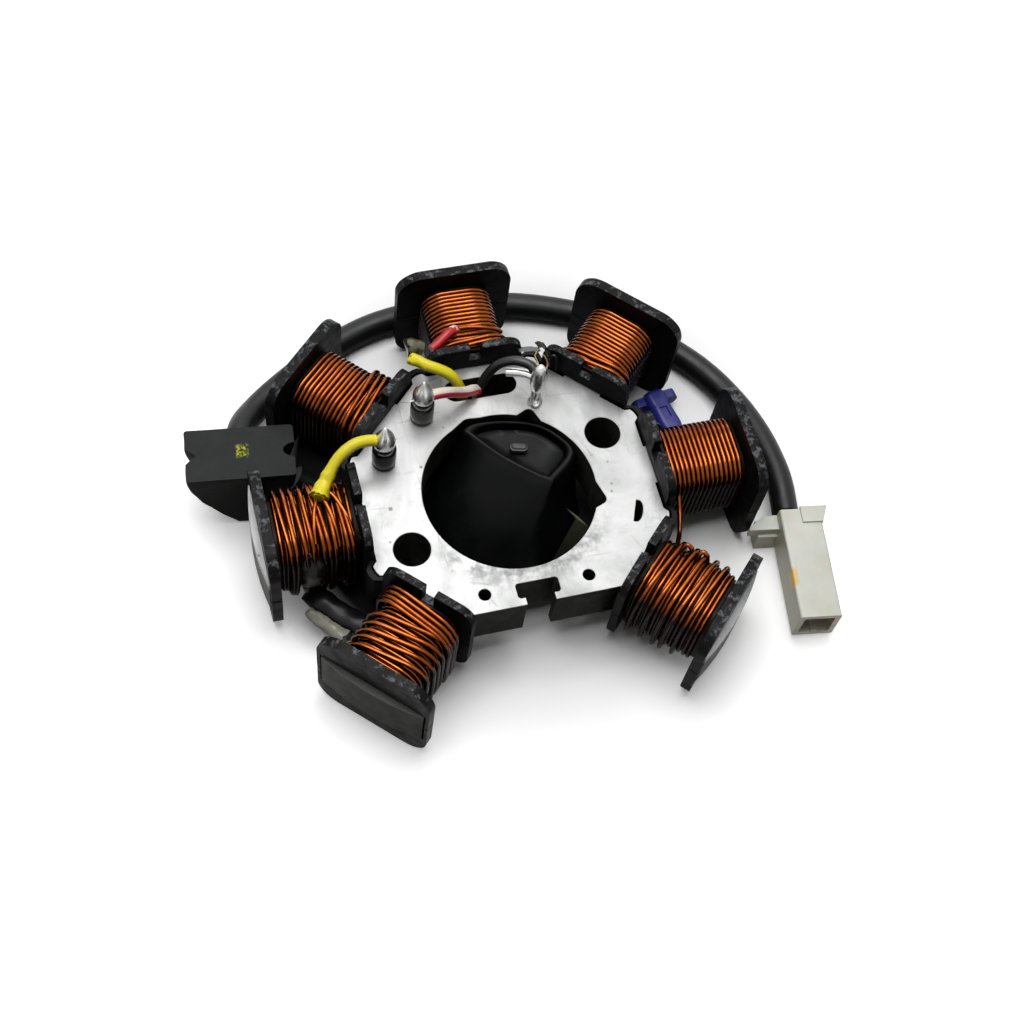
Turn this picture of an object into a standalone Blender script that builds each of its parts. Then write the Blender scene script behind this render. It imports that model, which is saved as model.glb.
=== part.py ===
# Wound stator of a small flywheel alternator: a laminated core with seven wound poles and one
# empty position, two moulded insulator halves, terminals, leads, a harness and its fittings.
# Metres, +Z up. The stator lies flat on the lower edges of its outer flanges, at z = 0.

import math

import bmesh
import bpy
from mathutils import Matrix, Vector
from mathutils.geometry import tessellate_polygon

MM = 0.001

# Fits
CLEARANCE = 0.3 * MM
OVERLAP = 0.4 * MM

# Core
CORE_THICKNESS = 9.2 * MM
BORE_RADIUS = 15.0 * MM
HUB_APOTHEM = 25.0 * MM
HUB_CORNER_RISE = 0.5 * MM
HUB_CORNER_HALF_ANGLE = 2.2
HUB_FLAT_HALF = 8.7 * MM
FRONT_EDGE = 21.5 * MM
POLE_POSITIONS = 8
TOOTH_WIDTH = 7.4 * MM
SHOE_PROUD = 1.2 * MM
SHOE_WIDTH = 19.2 * MM
SHOE_TIP = 0.9 * MM

# Bore notches: start, peak and end angle in degrees, and how deep the peak is cut
BORE_NOTCHES = (
    (-25.0, -17.9, -5.2, 1.6 * MM),
    (54.0, 63.3, 70.8, 1.7 * MM),
    (95.8, 105.5, 117.4, 0.6 * MM),
)

# Holes in the hub
BOLT_HOLE_RADIUS = 3.15 * MM
BOLT_CIRCLE_RADIUS = 20.3 * MM
BOLT_ANGLES = (22.5, 202.5)
RIVET_HOLE_RADIUS = 1.05 * MM
RIVET_CIRCLE_RADIUS = 20.4 * MM
RIVET_ANGLES = (-116.0, -64.0)
KEY_HOLE_ANGLE = -22.3
KEY_HOLE_FLAT = 21.6 * MM
KEY_HOLE_DEPTH = 1.4 * MM
KEY_HOLE_WIDTH = 4.2 * MM
WIRE_SLOT_LENGTH = 13.0 * MM
WIRE_SLOT_WIDTH = 4.2 * MM
WIRE_SLOT_Y = 21.0 * MM
T_SLOT_NECK = 4.9 * MM
T_SLOT_HEAD = 7.3 * MM
T_SLOT_LIP = 1.3 * MM
T_SLOT_DEPTH = 4.0 * MM

# Insulator bobbins
FLANGE_HALF_HEIGHT = 11.0 * MM
FLANGE_WIDTH = 21.0 * MM
FLANGE_THICKNESS = 1.8 * MM
FLANGE_CORNER = 4.5 * MM
TAB_WIDTH = 17.0 * MM
TAB_FACE = 25.3 * MM
TAB_THICKNESS = 1.4 * MM
UPPER_TAB_RISE = 5.7 * MM
LOWER_TAB_RISE = 4.1 * MM
TAB_CORNER = 3.0 * MM
TAB_NOTCH_WIDTH = 2.2 * MM
TAB_NOTCH_FLOOR = 2.3 * MM
NECK_WALL = 0.9 * MM
LINER_THICKNESS = 0.9 * MM
LINER_REACH = 7.4 * MM

# Windings: their length sets how far out the flanges and T-heads are
COIL_LENGTH = 13.7 * MM
WIRE_DIAMETER = 0.9 * MM
COIL_TURNS = 12
COIL_HALF_WIDTH = 6.5 * MM
COIL_HALF_HEIGHT = 7.9 * MM
COIL_CORNER = 3.6 * MM

# Terminals
POST_DIAMETER = 4.2 * MM
POST_HEIGHT = 5.2 * MM
POST_SHANK_DIAMETER = 2.4 * MM
POST_RIVET_DIAMETER = 4.0 * MM
POST_RIVET_HEIGHT = 0.8 * MM
POST_1_SPOT = (-19.8 * MM, 9.4 * MM)
POST_2_SPOT = (-11.5 * MM, 16.9 * MM)
SOLDER_RADIUS = 1.9 * MM
SOLDER_HEIGHT = 6.0 * MM
SOLDER_BELLY = 1.3 * MM
SOLDER_PIN_DIAMETER = 1.0 * MM
SOLDER_PIN_DEPTH = 1.5 * MM
GROUND_SPOT = (8.7 * MM, 16.2 * MM)
GROUND_PIN_DIAMETER = 1.3 * MM
GROUND_PIN_HEIGHT = 4.6 * MM
GROUND_RIVET_DIAMETER = 2.6 * MM
GROUND_SOLDER_RADIUS = 1.45 * MM
GROUND_SOLDER_HEIGHT = 7.6 * MM

# Harness
CABLE_DIAMETER = 4.8 * MM
YELLOW_DIAMETER = 2.0 * MM
WHITE_DIAMETER = 1.9 * MM
BLACK_DIAMETER = 1.7 * MM
RED_DIAMETER = 1.7 * MM
THIN_LEAD_DIAMETER = 1.6 * MM

# Grommet
GROMMET_WIDTH = 18.4 * MM
GROMMET_HEIGHT = 15.4 * MM
GROMMET_DEPTH = 10.0 * MM
GROMMET_ROUND = 12.4 * MM
GROMMET_GROOVE = 1.9 * MM
GROMMET_LIP = 3.5 * MM
GROMMET_SPOT = (-43.2 * MM, 16.1 * MM)
GROMMET_TURN = -6.5

# White housing at the cable's end
HOUSING_WIDTH = 7.4 * MM
HOUSING_HEIGHT = 7.4 * MM
HOUSING_LENGTH = 21.0 * MM
HOUSING_WALL = 1.0 * MM
HOUSING_CAVITY = 9.0 * MM
HOUSING_FLOOR = 0.9 * MM
HOUSING_TURN = -8.8
WING_LENGTH = 2.8 * MM
WING_THICKNESS = 2.2 * MM
LEFT_WING_REACH = 5.4 * MM
LEFT_WING_SLANT = 3.0 * MM
LEFT_WING_RISE = 3.1 * MM
RIGHT_WING_REACH = 1.2 * MM
RIGHT_WING_RISE = 5.8 * MM
RIGHT_WING_PROUD = 0.4 * MM
FOOT_REACH = 3.6 * MM
FOOT_LENGTH = 3.4 * MM
WIRE_ENTRY_DIAMETER = 4.2 * MM
TERMINAL_PITCH = 3.0 * MM
TERMINAL_WIDTH = 1.7 * MM
TERMINAL_THICKNESS = 0.7 * MM
TERMINAL_LENGTH = 3.0 * MM

# Blue housing between two poles
BLUE_LENGTH = 10.5 * MM
BLUE_WIDTH = 4.2 * MM
BLUE_HEIGHT = 4.8 * MM
BLUE_EAR_SPAN = 8.8 * MM
BLUE_EAR_HEIGHT = 2.4 * MM
BLUE_EAR_LENGTH = 1.8 * MM
BLUE_TURN = -80.0

# Pick-up coil under the bore
PICKUP_HEIGHT = 15.4 * MM
PICKUP_FOOT = 2.4 * MM
PICKUP_RECESS = 2.0 * MM
PICKUP_RIM = 0.8
TIP_LENGTH = 3.2 * MM
TIP_WIDTH = 1.7 * MM
TIP_RISE = 1.2 * MM
BRACKET_WIDTH = 2.8 * MM
BRACKET_THICKNESS = 0.8 * MM

# Worked out from the sizes above
POLE_STEP = 360.0 / POLE_POSITIONS
EMPTY_POLE = -90.0
POLE_ANGLES = [EMPTY_POLE - POLE_STEP * (i + 1) for i in range(POLE_POSITIONS - 1)]
MID_Z = FLANGE_HALF_HEIGHT
CORE_HALF = CORE_THICKNESS / 2
PLATE_TOP = MID_Z + CORE_HALF
PLATE_UNDER = MID_Z - CORE_HALF
NECK_HALF_WIDTH = TOOTH_WIDTH / 2 + CLEARANCE + NECK_WALL
NECK_HALF_HEIGHT = CORE_HALF + CLEARANCE + NECK_WALL
TAB_BACK = TAB_FACE + TAB_THICKNESS
COIL_START = TAB_BACK + CLEARANCE
COIL_END = COIL_START + COIL_LENGTH
FLANGE_INNER_FACE = COIL_END + CLEARANCE
FLANGE_FACE = FLANGE_INNER_FACE + FLANGE_THICKNESS
SHOE_RADIUS = FLANGE_FACE + SHOE_PROUD
SHOE_BACK = math.sqrt(SHOE_RADIUS ** 2 - (SHOE_WIDTH / 2) ** 2) - SHOE_TIP
FRONT_REACH = (FLANGE_FACE + FLANGE_WIDTH / 2) * math.sin(math.radians(45.0))
AXIS_Y = (FRONT_REACH - SHOE_RADIUS) / 2

COLOURS = {
    "steel": ((0.62, 0.62, 0.60), 0.32, 1.0),
    "insulation": ((0.018, 0.018, 0.019), 0.45, 0.0),
    "copper": ((0.52, 0.19, 0.06), 0.3, 1.0),
    "post": ((0.015, 0.015, 0.015), 0.2, 0.0),
    "solder": ((0.72, 0.73, 0.74), 0.15, 1.0),
    "yellow": ((0.80, 0.66, 0.03), 0.4, 0.0),
    "white": ((0.82, 0.76, 0.68), 0.45, 0.0),
    "red": ((0.55, 0.02, 0.05), 0.4, 0.0),
    "black": ((0.02, 0.02, 0.022), 0.4, 0.0),
    "rubber": ((0.045, 0.045, 0.048), 0.7, 0.0),
    "nylon": ((0.80, 0.80, 0.74), 0.4, 0.0),
    "blue": ((0.10, 0.08, 0.42), 0.4, 0.0),
    "bracket": ((0.16, 0.17, 0.14), 0.45, 1.0),
}


def clear_scene():
    for old in list(bpy.data.objects):
        bpy.data.objects.remove(old, do_unlink=True)


def material(name):
    known = bpy.data.materials.get(name)
    if known:
        return known
    colour, roughness, metallic = COLOURS[name]
    made = bpy.data.materials.new(name)
    made.use_nodes = True
    shader = made.node_tree.nodes["Principled BSDF"]
    shader.inputs["Base Color"].default_value = (*colour, 1.0)
    shader.inputs["Roughness"].default_value = roughness
    shader.inputs["Metallic"].default_value = metallic
    return made


def place(name, data, finish, parent, location=(0, 0, 0), turn=0.0):
    """Put a mesh or curve in the scene as a named object, turned about Z in degrees."""
    data.name = name
    data.materials.clear()
    data.materials.append(material(finish))
    made = bpy.data.objects.new(name, data)
    bpy.context.scene.collection.objects.link(made)
    made.parent = parent
    made.location = location
    made.rotation_euler = (0, 0, math.radians(turn))
    return made


def to_mesh(bm, name="solid"):
    bmesh.ops.recalc_face_normals(bm, faces=bm.faces)
    mesh = bpy.data.meshes.new(name)
    bm.to_mesh(mesh)
    bm.free()
    return mesh


def smooth(mesh, angle=35.0):
    mesh.shade_smooth()
    mesh.set_sharp_from_angle(angle=math.radians(angle))
    return mesh


def polar(radius, degrees):
    angle = math.radians(degrees)
    return (radius * math.cos(angle), radius * math.sin(angle))


def turned_point(point, degrees):
    """A point of a pole's own plan (out along the pole, across it), turned to the pole's angle."""
    angle = math.radians(degrees)
    out, across = point
    x = out * math.cos(angle) - across * math.sin(angle)
    y = out * math.sin(angle) + across * math.cos(angle)
    return (x, y)


def circle(centre, radius, count):
    points = []
    for i in range(count):
        x, y = polar(radius, 360.0 * i / count)
        points.append((centre[0] + x, centre[1] + y))
    return points


def rounded_rectangle(width, height, corner, steps=3):
    """Outline about the origin, anticlockwise."""
    points = []
    for quarter, (sx, sy) in enumerate(((1, 1), (-1, 1), (-1, -1), (1, -1))):
        cx = sx * (width / 2 - corner)
        cy = sy * (height / 2 - corner)
        for i in range(steps + 1):
            x, y = polar(corner, 90.0 * quarter + 90.0 * i / steps)
            points.append((cx + x, cy + y))
    return points


def slab(outer, low, high, holes=(), along="z"):
    """Closed solid: an outline with holes, extruded from low to high along one axis."""
    place_point = {
        "z": lambda a, b, c: Vector((a, b, c)),
        "x": lambda a, b, c: Vector((c, a, b)),
        "y": lambda a, b, c: Vector((b, c, a)),
    }[along]
    bm = bmesh.new()
    loops = [[place_point(a, b, low) for a, b in loop] for loop in (outer, *holes)]
    verts = [bm.verts.new(point) for loop in loops for point in loop]
    if holes:
        for corners in tessellate_polygon(loops):
            bm.faces.new([verts[i] for i in corners])
    else:
        bm.faces.new(verts)
    grown = bmesh.ops.extrude_face_region(bm, geom=bm.faces[:])
    moved = [item for item in grown["geom"] if isinstance(item, bmesh.types.BMVert)]
    rise = place_point(0, 0, high - low)
    bmesh.ops.translate(bm, verts=moved, vec=rise)
    return to_mesh(bm)


def loft(rings, closed=False):
    """Closed solid through rings of as many points each, with end caps, or joined end to end."""
    bm = bmesh.new()
    rows = [[bm.verts.new(point) for point in ring] for ring in rings]
    count = len(rows[0])
    spans = len(rows) if closed else len(rows) - 1
    for i in range(spans):
        first = rows[i]
        second = rows[(i + 1) % len(rows)]
        for j in range(count):
            k = (j + 1) % count
            bm.faces.new((first[j], first[k], second[k], second[j]))
    if not closed:
        bm.faces.new(rows[0])
        bm.faces.new(rows[-1])
    return to_mesh(bm)


def turned_solid(profile, count=12):
    """Solid of revolution about Z: profile points run (radius, height) from axis to axis."""
    bm = bmesh.new()
    previous = None
    for radius, height in profile:
        if radius <= 0:
            ring = [bm.verts.new((0, 0, height))]
        else:
            ring = [bm.verts.new((*polar(radius, 360.0 * i / count), height)) for i in range(count)]
        if previous:
            for i in range(count):
                a = previous[i % len(previous)]
                b = previous[(i + 1) % len(previous)]
                c = ring[(i + 1) % len(ring)]
                d = ring[i % len(ring)]
                corners = list(dict.fromkeys((a, b, c, d)))
                bm.faces.new(corners)
        previous = ring
    return smooth(to_mesh(bm))


def joined(meshes):
    """One mesh holding several separate closed shells."""
    bm = bmesh.new()
    for mesh in meshes:
        bm.from_mesh(mesh)
    return to_mesh(bm)


def copies(mesh, angles):
    """The same shell turned to each angle about Z, in one mesh."""
    bm = bmesh.new()
    for angle in angles:
        before = len(bm.verts)
        bm.from_mesh(mesh)
        bm.verts.ensure_lookup_table()
        turned = bm.verts[before:]
        bmesh.ops.rotate(bm, verts=turned, matrix=Matrix.Rotation(math.radians(angle), 3, "Z"))
    return to_mesh(bm)


def combine(base, tools):
    """Apply Boolean steps to a mesh: each tool is an operation and a mesh."""
    body = bpy.data.objects.new("working_body", base)
    bpy.context.scene.collection.objects.link(body)
    helpers = []
    for operation, mesh in tools:
        helper = bpy.data.objects.new("working_tool", mesh)
        helper.hide_render = True
        helper.display_type = "WIRE"
        bpy.context.scene.collection.objects.link(helper)
        helpers.append(helper)
        step = body.modifiers.new("step", "BOOLEAN")
        step.operation = operation
        step.solver = "EXACT"
        step.object = helper
    bpy.context.view_layer.update()
    depsgraph = bpy.context.evaluated_depsgraph_get()
    result = bpy.data.meshes.new_from_object(body.evaluated_get(depsgraph))
    for item in (body, *helpers):
        bpy.data.objects.remove(item, do_unlink=True)
    return result


def box(low, high):
    outline = [(low[0], low[1]), (high[0], low[1]), (high[0], high[1]), (low[0], high[1])]
    return slab(outline, low[2], high[2])


def smooth_route(points, spacing):
    """Points along a Catmull-Rom curve through the route, evenly spaced."""
    route = [Vector(p) for p in points]
    ends = [2 * route[0] - route[1], *route, 2 * route[-1] - route[-2]]
    fine = []
    steps = 12
    for i in range(1, len(ends) - 2):
        before, start, end, after = ends[i - 1], ends[i], ends[i + 1], ends[i + 2]
        for j in range(steps):
            t = j / steps
            pull = 2 * before - 5 * start + 4 * end - after
            bend = 3 * (start - end) + after - before
            fine.append(0.5 * (2 * start + (end - before) * t + pull * t ** 2 + bend * t ** 3))
    fine.append(route[-1])
    total = sum((b - a).length for a, b in zip(fine, fine[1:]))
    count = max(3, round(total / spacing))
    even = [fine[0]]
    walked = 0.0
    for a, b in zip(fine, fine[1:]):
        length = (b - a).length
        while len(even) < count and walked + length >= total * len(even) / count:
            share = (total * len(even) / count - walked) / length
            even.append(a.lerp(b, share))
        walked += length
    even.append(fine[-1])
    return even


def cord(name, points, diameter, finish, parent):
    """A plain round lead through hand-chosen points, given in millimetres from the bore axis."""
    route = smooth_route([Vector(p) * MM for p in points], 2.0 * diameter)
    curve = bpy.data.curves.new(name, "CURVE")
    curve.dimensions = "3D"
    curve.bevel_depth = diameter / 2
    curve.bevel_resolution = 2
    curve.use_fill_caps = True
    spline = curve.splines.new("POLY")
    spline.points.add(len(route) - 1)
    for spot, point in zip(spline.points, route):
        spot.co = (*point, 1.0)
    return place(name, curve, finish, parent)


# Core

def hub_corner(middle, offset=0.0):
    """Points over a hub corner between two poles, clockwise: two flat ends and a low bump."""
    flat = HUB_APOTHEM + offset
    top = flat / math.cos(math.radians(POLE_STEP / 2)) + HUB_CORNER_RISE
    side = top - 0.3 * HUB_CORNER_RISE
    half = HUB_CORNER_HALF_ANGLE
    return [
        turned_point((flat, -HUB_FLAT_HALF), middle + POLE_STEP / 2),
        polar(side, middle + half),
        polar(top, middle),
        polar(side, middle - half),
        turned_point((flat, HUB_FLAT_HALF), middle - POLE_STEP / 2),
    ]


def pole_outline(angle):
    """Tooth and T-head of one pole, clockwise about the bore axis."""
    half_tooth = TOOTH_WIDTH / 2
    half_shoe = SHOE_WIDTH / 2
    reach = math.degrees(math.asin(half_shoe / SHOE_RADIUS))
    own = [(HUB_APOTHEM, half_tooth), (SHOE_BACK, half_tooth), (SHOE_BACK, half_shoe)]
    steps = 8
    for i in range(steps + 1):
        own.append(polar(SHOE_RADIUS, reach - 2 * reach * i / steps))
    own += [(SHOE_BACK, -half_shoe), (SHOE_BACK, -half_tooth), (HUB_APOTHEM, -half_tooth)]
    return [turned_point(point, angle) for point in own]


def front_edge():
    """The flat edge at the empty position, with its T slot, left to right seen from above."""
    corner = HUB_APOTHEM * math.sqrt(2) - FRONT_EDGE
    neck = T_SLOT_NECK / 2
    head = T_SLOT_HEAD / 2
    lip = -(FRONT_EDGE - T_SLOT_LIP)
    floor = -(FRONT_EDGE - T_SLOT_DEPTH)
    left = [(-corner, -FRONT_EDGE), (-neck, -FRONT_EDGE), (-neck, lip), (-head, lip), (-head, floor)]
    right = [(-x, y) for x, y in reversed(left)]
    return left + right


def core_outline():
    points = []
    for angle in POLE_ANGLES:
        if angle != POLE_ANGLES[0]:
            points += hub_corner(angle + POLE_STEP / 2)
        points += pole_outline(angle)
    points += list(reversed(front_edge()))
    return points


def bore_outline():
    """Round bore with three small notches."""
    points = []
    angle = -30.0
    step = 6.0
    notches = list(BORE_NOTCHES)
    while angle < 330.0 - step / 2:
        notch = notches[0] if notches else None
        if notch and angle + step / 2 > notch[0]:
            start, peak, end, depth = notches.pop(0)
            points.append(polar(BORE_RADIUS, start))
            points.append(polar(BORE_RADIUS + 0.85 * depth, peak - 2.5))
            points.append(polar(BORE_RADIUS + depth, peak))
            points.append(polar(BORE_RADIUS + 0.85 * depth, peak + 2.5))
            points.append(polar(BORE_RADIUS, end))
            angle = step * math.ceil((end + step / 2) / step)
        else:
            points.append(polar(BORE_RADIUS, angle))
            angle += step
    return points


def key_hole():
    """Small D-shaped hole: its flat side faces the axis."""
    half = KEY_HOLE_WIDTH / 2
    shoulder = KEY_HOLE_FLAT + 0.35 * KEY_HOLE_DEPTH
    own = [(KEY_HOLE_FLAT, -half)]
    for i in range(7):
        turn = -90.0 + 180.0 * i / 6
        x, y = polar(1.0, turn)
        own.append((shoulder + 0.65 * KEY_HOLE_DEPTH * x, half * y))
    own.append((KEY_HOLE_FLAT, half))
    return [turned_point(point, KEY_HOLE_ANGLE) for point in own]


def hub_holes():
    holes = [bore_outline(), key_hole()]
    for angle in BOLT_ANGLES:
        holes.append(circle(polar(BOLT_CIRCLE_RADIUS, angle), BOLT_HOLE_RADIUS, 16))
    for angle in RIVET_ANGLES:
        holes.append(circle(polar(RIVET_CIRCLE_RADIUS, angle), RIVET_HOLE_RADIUS, 12))
    for spot in (POST_1_SPOT, POST_2_SPOT):
        holes.append(circle(spot, POST_SHANK_DIAMETER / 2 + CLEARANCE, 10))
    holes.append(circle(GROUND_SPOT, GROUND_PIN_DIAMETER / 2 + CLEARANCE, 8))
    slot = rounded_rectangle(WIRE_SLOT_LENGTH, WIRE_SLOT_WIDTH, WIRE_SLOT_WIDTH / 2, 4)
    holes.append([(x, y + WIRE_SLOT_Y) for x, y in slot])
    return holes


def build_core(axis):
    mesh = slab(core_outline(), PLATE_UNDER, PLATE_TOP, hub_holes())
    place("lamination_stack", mesh, "steel", axis)


# Insulators

def flange_plate(half_height, width, corner, low, high):
    outline = rounded_rectangle(width, 2 * half_height, corner, 4)
    return slab(outline, low, high, along="x")


def bobbin(tab_half_height):
    """One whole spool about a pole, along +X and level with the core's middle."""
    neck = slab(
        [
            (-NECK_HALF_WIDTH, -NECK_HALF_HEIGHT),
            (NECK_HALF_WIDTH, -NECK_HALF_HEIGHT),
            (NECK_HALF_WIDTH, NECK_HALF_HEIGHT),
            (-NECK_HALF_WIDTH, NECK_HALF_HEIGHT),
        ],
        TAB_BACK - OVERLAP,
        FLANGE_INNER_FACE + OVERLAP,
        along="x",
    )
    tab = flange_plate(tab_half_height, TAB_WIDTH, TAB_CORNER, TAB_FACE, TAB_BACK)
    flange = flange_plate(
        FLANGE_HALF_HEIGHT, FLANGE_WIDTH, FLANGE_CORNER, FLANGE_INNER_FACE, FLANGE_FACE
    )
    notch_half = TAB_NOTCH_WIDTH / 2
    notch = box(
        (TAB_FACE - OVERLAP, -notch_half, CORE_HALF + TAB_NOTCH_FLOOR),
        (TAB_BACK + OVERLAP, notch_half, FLANGE_HALF_HEIGHT + OVERLAP),
    )
    return combine(neck, [("UNION", tab), ("UNION", flange), ("DIFFERENCE", notch)])


def liner(middle):
    """Strip that lines the hub's edge between the poles on either side of middle."""
    near = CLEARANCE * 1.2
    far = near + LINER_THICKNESS
    first = middle + POLE_STEP / 2
    last = middle - POLE_STEP / 2
    inner = [turned_point((HUB_APOTHEM + near, -LINER_REACH), first)]
    inner += hub_corner(middle, near)
    inner.append(turned_point((HUB_APOTHEM + near, LINER_REACH), last))
    outer = [turned_point((HUB_APOTHEM + far, -LINER_REACH), first)]
    outer += hub_corner(middle, far)
    outer.append(turned_point((HUB_APOTHEM + far, LINER_REACH), last))
    return slab(inner + list(reversed(outer)), -OVERLAP, CORE_HALF)


def steel_room():
    """The room that one tooth and its T-head need inside the insulator, as a T in plan."""
    half_tooth = TOOTH_WIDTH / 2 + CLEARANCE
    half_shoe = SHOE_WIDTH / 2 + CLEARANCE
    back = SHOE_BACK - CLEARANCE
    start = TAB_FACE - 2 * OVERLAP
    end = SHOE_RADIUS + 2 * OVERLAP
    outline = [
        (start, -half_tooth),
        (back, -half_tooth),
        (back, -half_shoe),
        (end, -half_shoe),
        (end, half_shoe),
        (back, half_shoe),
        (back, half_tooth),
        (start, half_tooth),
    ]
    height = CORE_HALF + CLEARANCE
    return slab(outline, -height, height)


def insulator_half(tab_rise):
    """The half above the core's middle, with seven half bobbins and the strips between them."""
    spools = copies(bobbin(CORE_HALF + tab_rise), POLE_ANGLES)
    middles = [angle + POLE_STEP / 2 for angle in POLE_ANGLES[1:]]
    strips = joined([liner(middle) for middle in middles])
    steel = copies(steel_room(), POLE_ANGLES)
    reach = 2 * SHOE_RADIUS
    below = box((-reach, -reach, -reach), (reach, reach, CLEARANCE / 2))
    return combine(spools, [("UNION", strips), ("DIFFERENCE", steel), ("DIFFERENCE", below)])


def build_insulators(axis):
    upper = insulator_half(UPPER_TAB_RISE)
    place("upper_insulator", upper, "insulation", axis, (0, 0, MID_Z))
    lower = insulator_half(LOWER_TAB_RISE)
    made = place("lower_insulator", lower, "insulation", axis, (0, 0, MID_Z))
    made.rotation_euler = (0, math.pi, 0)


# Windings

def coil_ring(x, half_width, half_height, corner):
    outline = rounded_rectangle(2 * half_width, 2 * half_height, corner, 2)
    return [(x, a, b) for a, b in outline]


def coil_mesh():
    """Sleeve of wound wire: a rounded section whose outside rises and falls with each turn."""
    pitch = (COIL_END - COIL_START) / COIL_TURNS
    valley = 0.28 * WIRE_DIAMETER
    rings = []
    for turn in range(COIL_TURNS):
        x = COIL_START + pitch * turn
        rings.append(coil_ring(x, COIL_HALF_WIDTH - valley, COIL_HALF_HEIGHT - valley, COIL_CORNER))
        middle = x + pitch / 2
        rings.append(coil_ring(middle, COIL_HALF_WIDTH, COIL_HALF_HEIGHT, COIL_CORNER))
    rings.append(
        coil_ring(COIL_END, COIL_HALF_WIDTH - valley, COIL_HALF_HEIGHT - valley, COIL_CORNER)
    )
    inner_width = NECK_HALF_WIDTH + CLEARANCE
    inner_height = NECK_HALF_HEIGHT + CLEARANCE
    inner_corner = 0.2 * MM
    rings.append(coil_ring(COIL_END, inner_width, inner_height, inner_corner))
    rings.append(coil_ring(COIL_START, inner_width, inner_height, inner_corner))
    return smooth(loft(rings, closed=True), 60.0)


def build_coils(axis):
    mesh = coil_mesh()
    for number, angle in enumerate(POLE_ANGLES, start=1):
        place(f"coil_{number}", mesh.copy(), "copper", axis, (0, 0, MID_Z), angle)


# Terminals

def post_mesh():
    """Moulded post with a blind hole on top, and a shank headed over below the hub."""
    body = POST_DIAMETER / 2
    shank = POST_SHANK_DIAMETER / 2
    head = POST_RIVET_DIAMETER / 2
    hole = SOLDER_PIN_DIAMETER / 2 + CLEARANCE
    depth = SOLDER_PIN_DEPTH + CLEARANCE
    foot = CLEARANCE
    under = -CORE_THICKNESS - CLEARANCE
    profile = [
        (0, under - POST_RIVET_HEIGHT),
        (head * 0.8, under - POST_RIVET_HEIGHT),
        (head, under - POST_RIVET_HEIGHT / 2),
        (head, under),
        (shank, under),
        (shank, foot),
        (body * 0.94, foot),
        (body, foot + 0.5 * MM),
        (body, POST_HEIGHT - 0.3 * MM),
        (body * 0.9, POST_HEIGHT),
        (hole, POST_HEIGHT),
        (hole, POST_HEIGHT - depth),
        (0, POST_HEIGHT - depth),
    ]
    return turned_solid(profile)


def solder_mesh():
    """Solder drop: a tapered belly below its widest ring and a blunt cone above it."""
    pin = SOLDER_PIN_DIAMETER / 2
    wide = SOLDER_RADIUS
    profile = [
        (0, -SOLDER_PIN_DEPTH),
        (pin, -SOLDER_PIN_DEPTH),
        (pin, CLEARANCE),
        (wide * 0.62, CLEARANCE),
        (wide * 0.9, SOLDER_BELLY * 0.55),
        (wide, SOLDER_BELLY),
        (wide * 0.86, SOLDER_BELLY + 0.22 * SOLDER_HEIGHT),
        (wide * 0.58, SOLDER_BELLY + 0.45 * SOLDER_HEIGHT),
        (wide * 0.3, SOLDER_HEIGHT * 0.9),
        (wide * 0.12, SOLDER_HEIGHT),
        (0, SOLDER_HEIGHT),
    ]
    return turned_solid(profile)


def ground_pin_mesh():
    """Bare pin through the hub, headed over below it, with a small collar on top of the hub."""
    pin = GROUND_PIN_DIAMETER / 2
    head = GROUND_RIVET_DIAMETER / 2
    under = -CORE_THICKNESS - CLEARANCE
    profile = [
        (0, under - POST_RIVET_HEIGHT),
        (head, under - POST_RIVET_HEIGHT),
        (head, under),
        (pin, under),
        (pin, CLEARANCE),
        (head, CLEARANCE),
        (head * 0.8, CLEARANCE + 0.6 * MM),
        (pin, CLEARANCE + 1.2 * MM),
        (pin, GROUND_PIN_HEIGHT),
        (0, GROUND_PIN_HEIGHT),
    ]
    return turned_solid(profile)


def ground_solder_mesh():
    """Egg-shaped solder over the pin's upper end, hollow below where the pin goes in."""
    wide = GROUND_SOLDER_RADIUS
    hole = GROUND_PIN_DIAMETER / 2 + CLEARANCE
    rim = hole + 0.15 * MM
    sink = 1.2 * MM
    profile = [(0, sink), (hole, sink), (hole, 0), (rim, 0)]
    for share, width in ((0.2, 0.86), (0.4, 1.0), (0.62, 0.98), (0.8, 0.8), (0.93, 0.48)):
        profile.append((wide * width, GROUND_SOLDER_HEIGHT * share))
    profile.append((0, GROUND_SOLDER_HEIGHT))
    return turned_solid(profile)


def build_terminals(axis):
    for number, spot in enumerate((POST_1_SPOT, POST_2_SPOT), start=1):
        place(f"terminal_post_{number}", post_mesh(), "post", axis, (*spot, PLATE_TOP))
        joint_z = PLATE_TOP + POST_HEIGHT
        place(f"solder_joint_{number}", solder_mesh(), "solder", axis, (*spot, joint_z))
    place("ground_pin", ground_pin_mesh(), "solder", axis, (*GROUND_SPOT, PLATE_TOP))
    solder_z = PLATE_TOP + GROUND_PIN_HEIGHT - 1.2 * MM + CLEARANCE
    place("solder_joint_3", ground_solder_mesh(), "solder", axis, (*GROUND_SPOT, solder_z))


# Harness routes, in millimetres from the bore axis and the floor

HARNESS_CABLE_START = [
    (-42.5, 22.2, 6.0),
    (-42.2, 25.0, 5.8),
    (-41.3, 27.8, 4.8),
]

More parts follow.
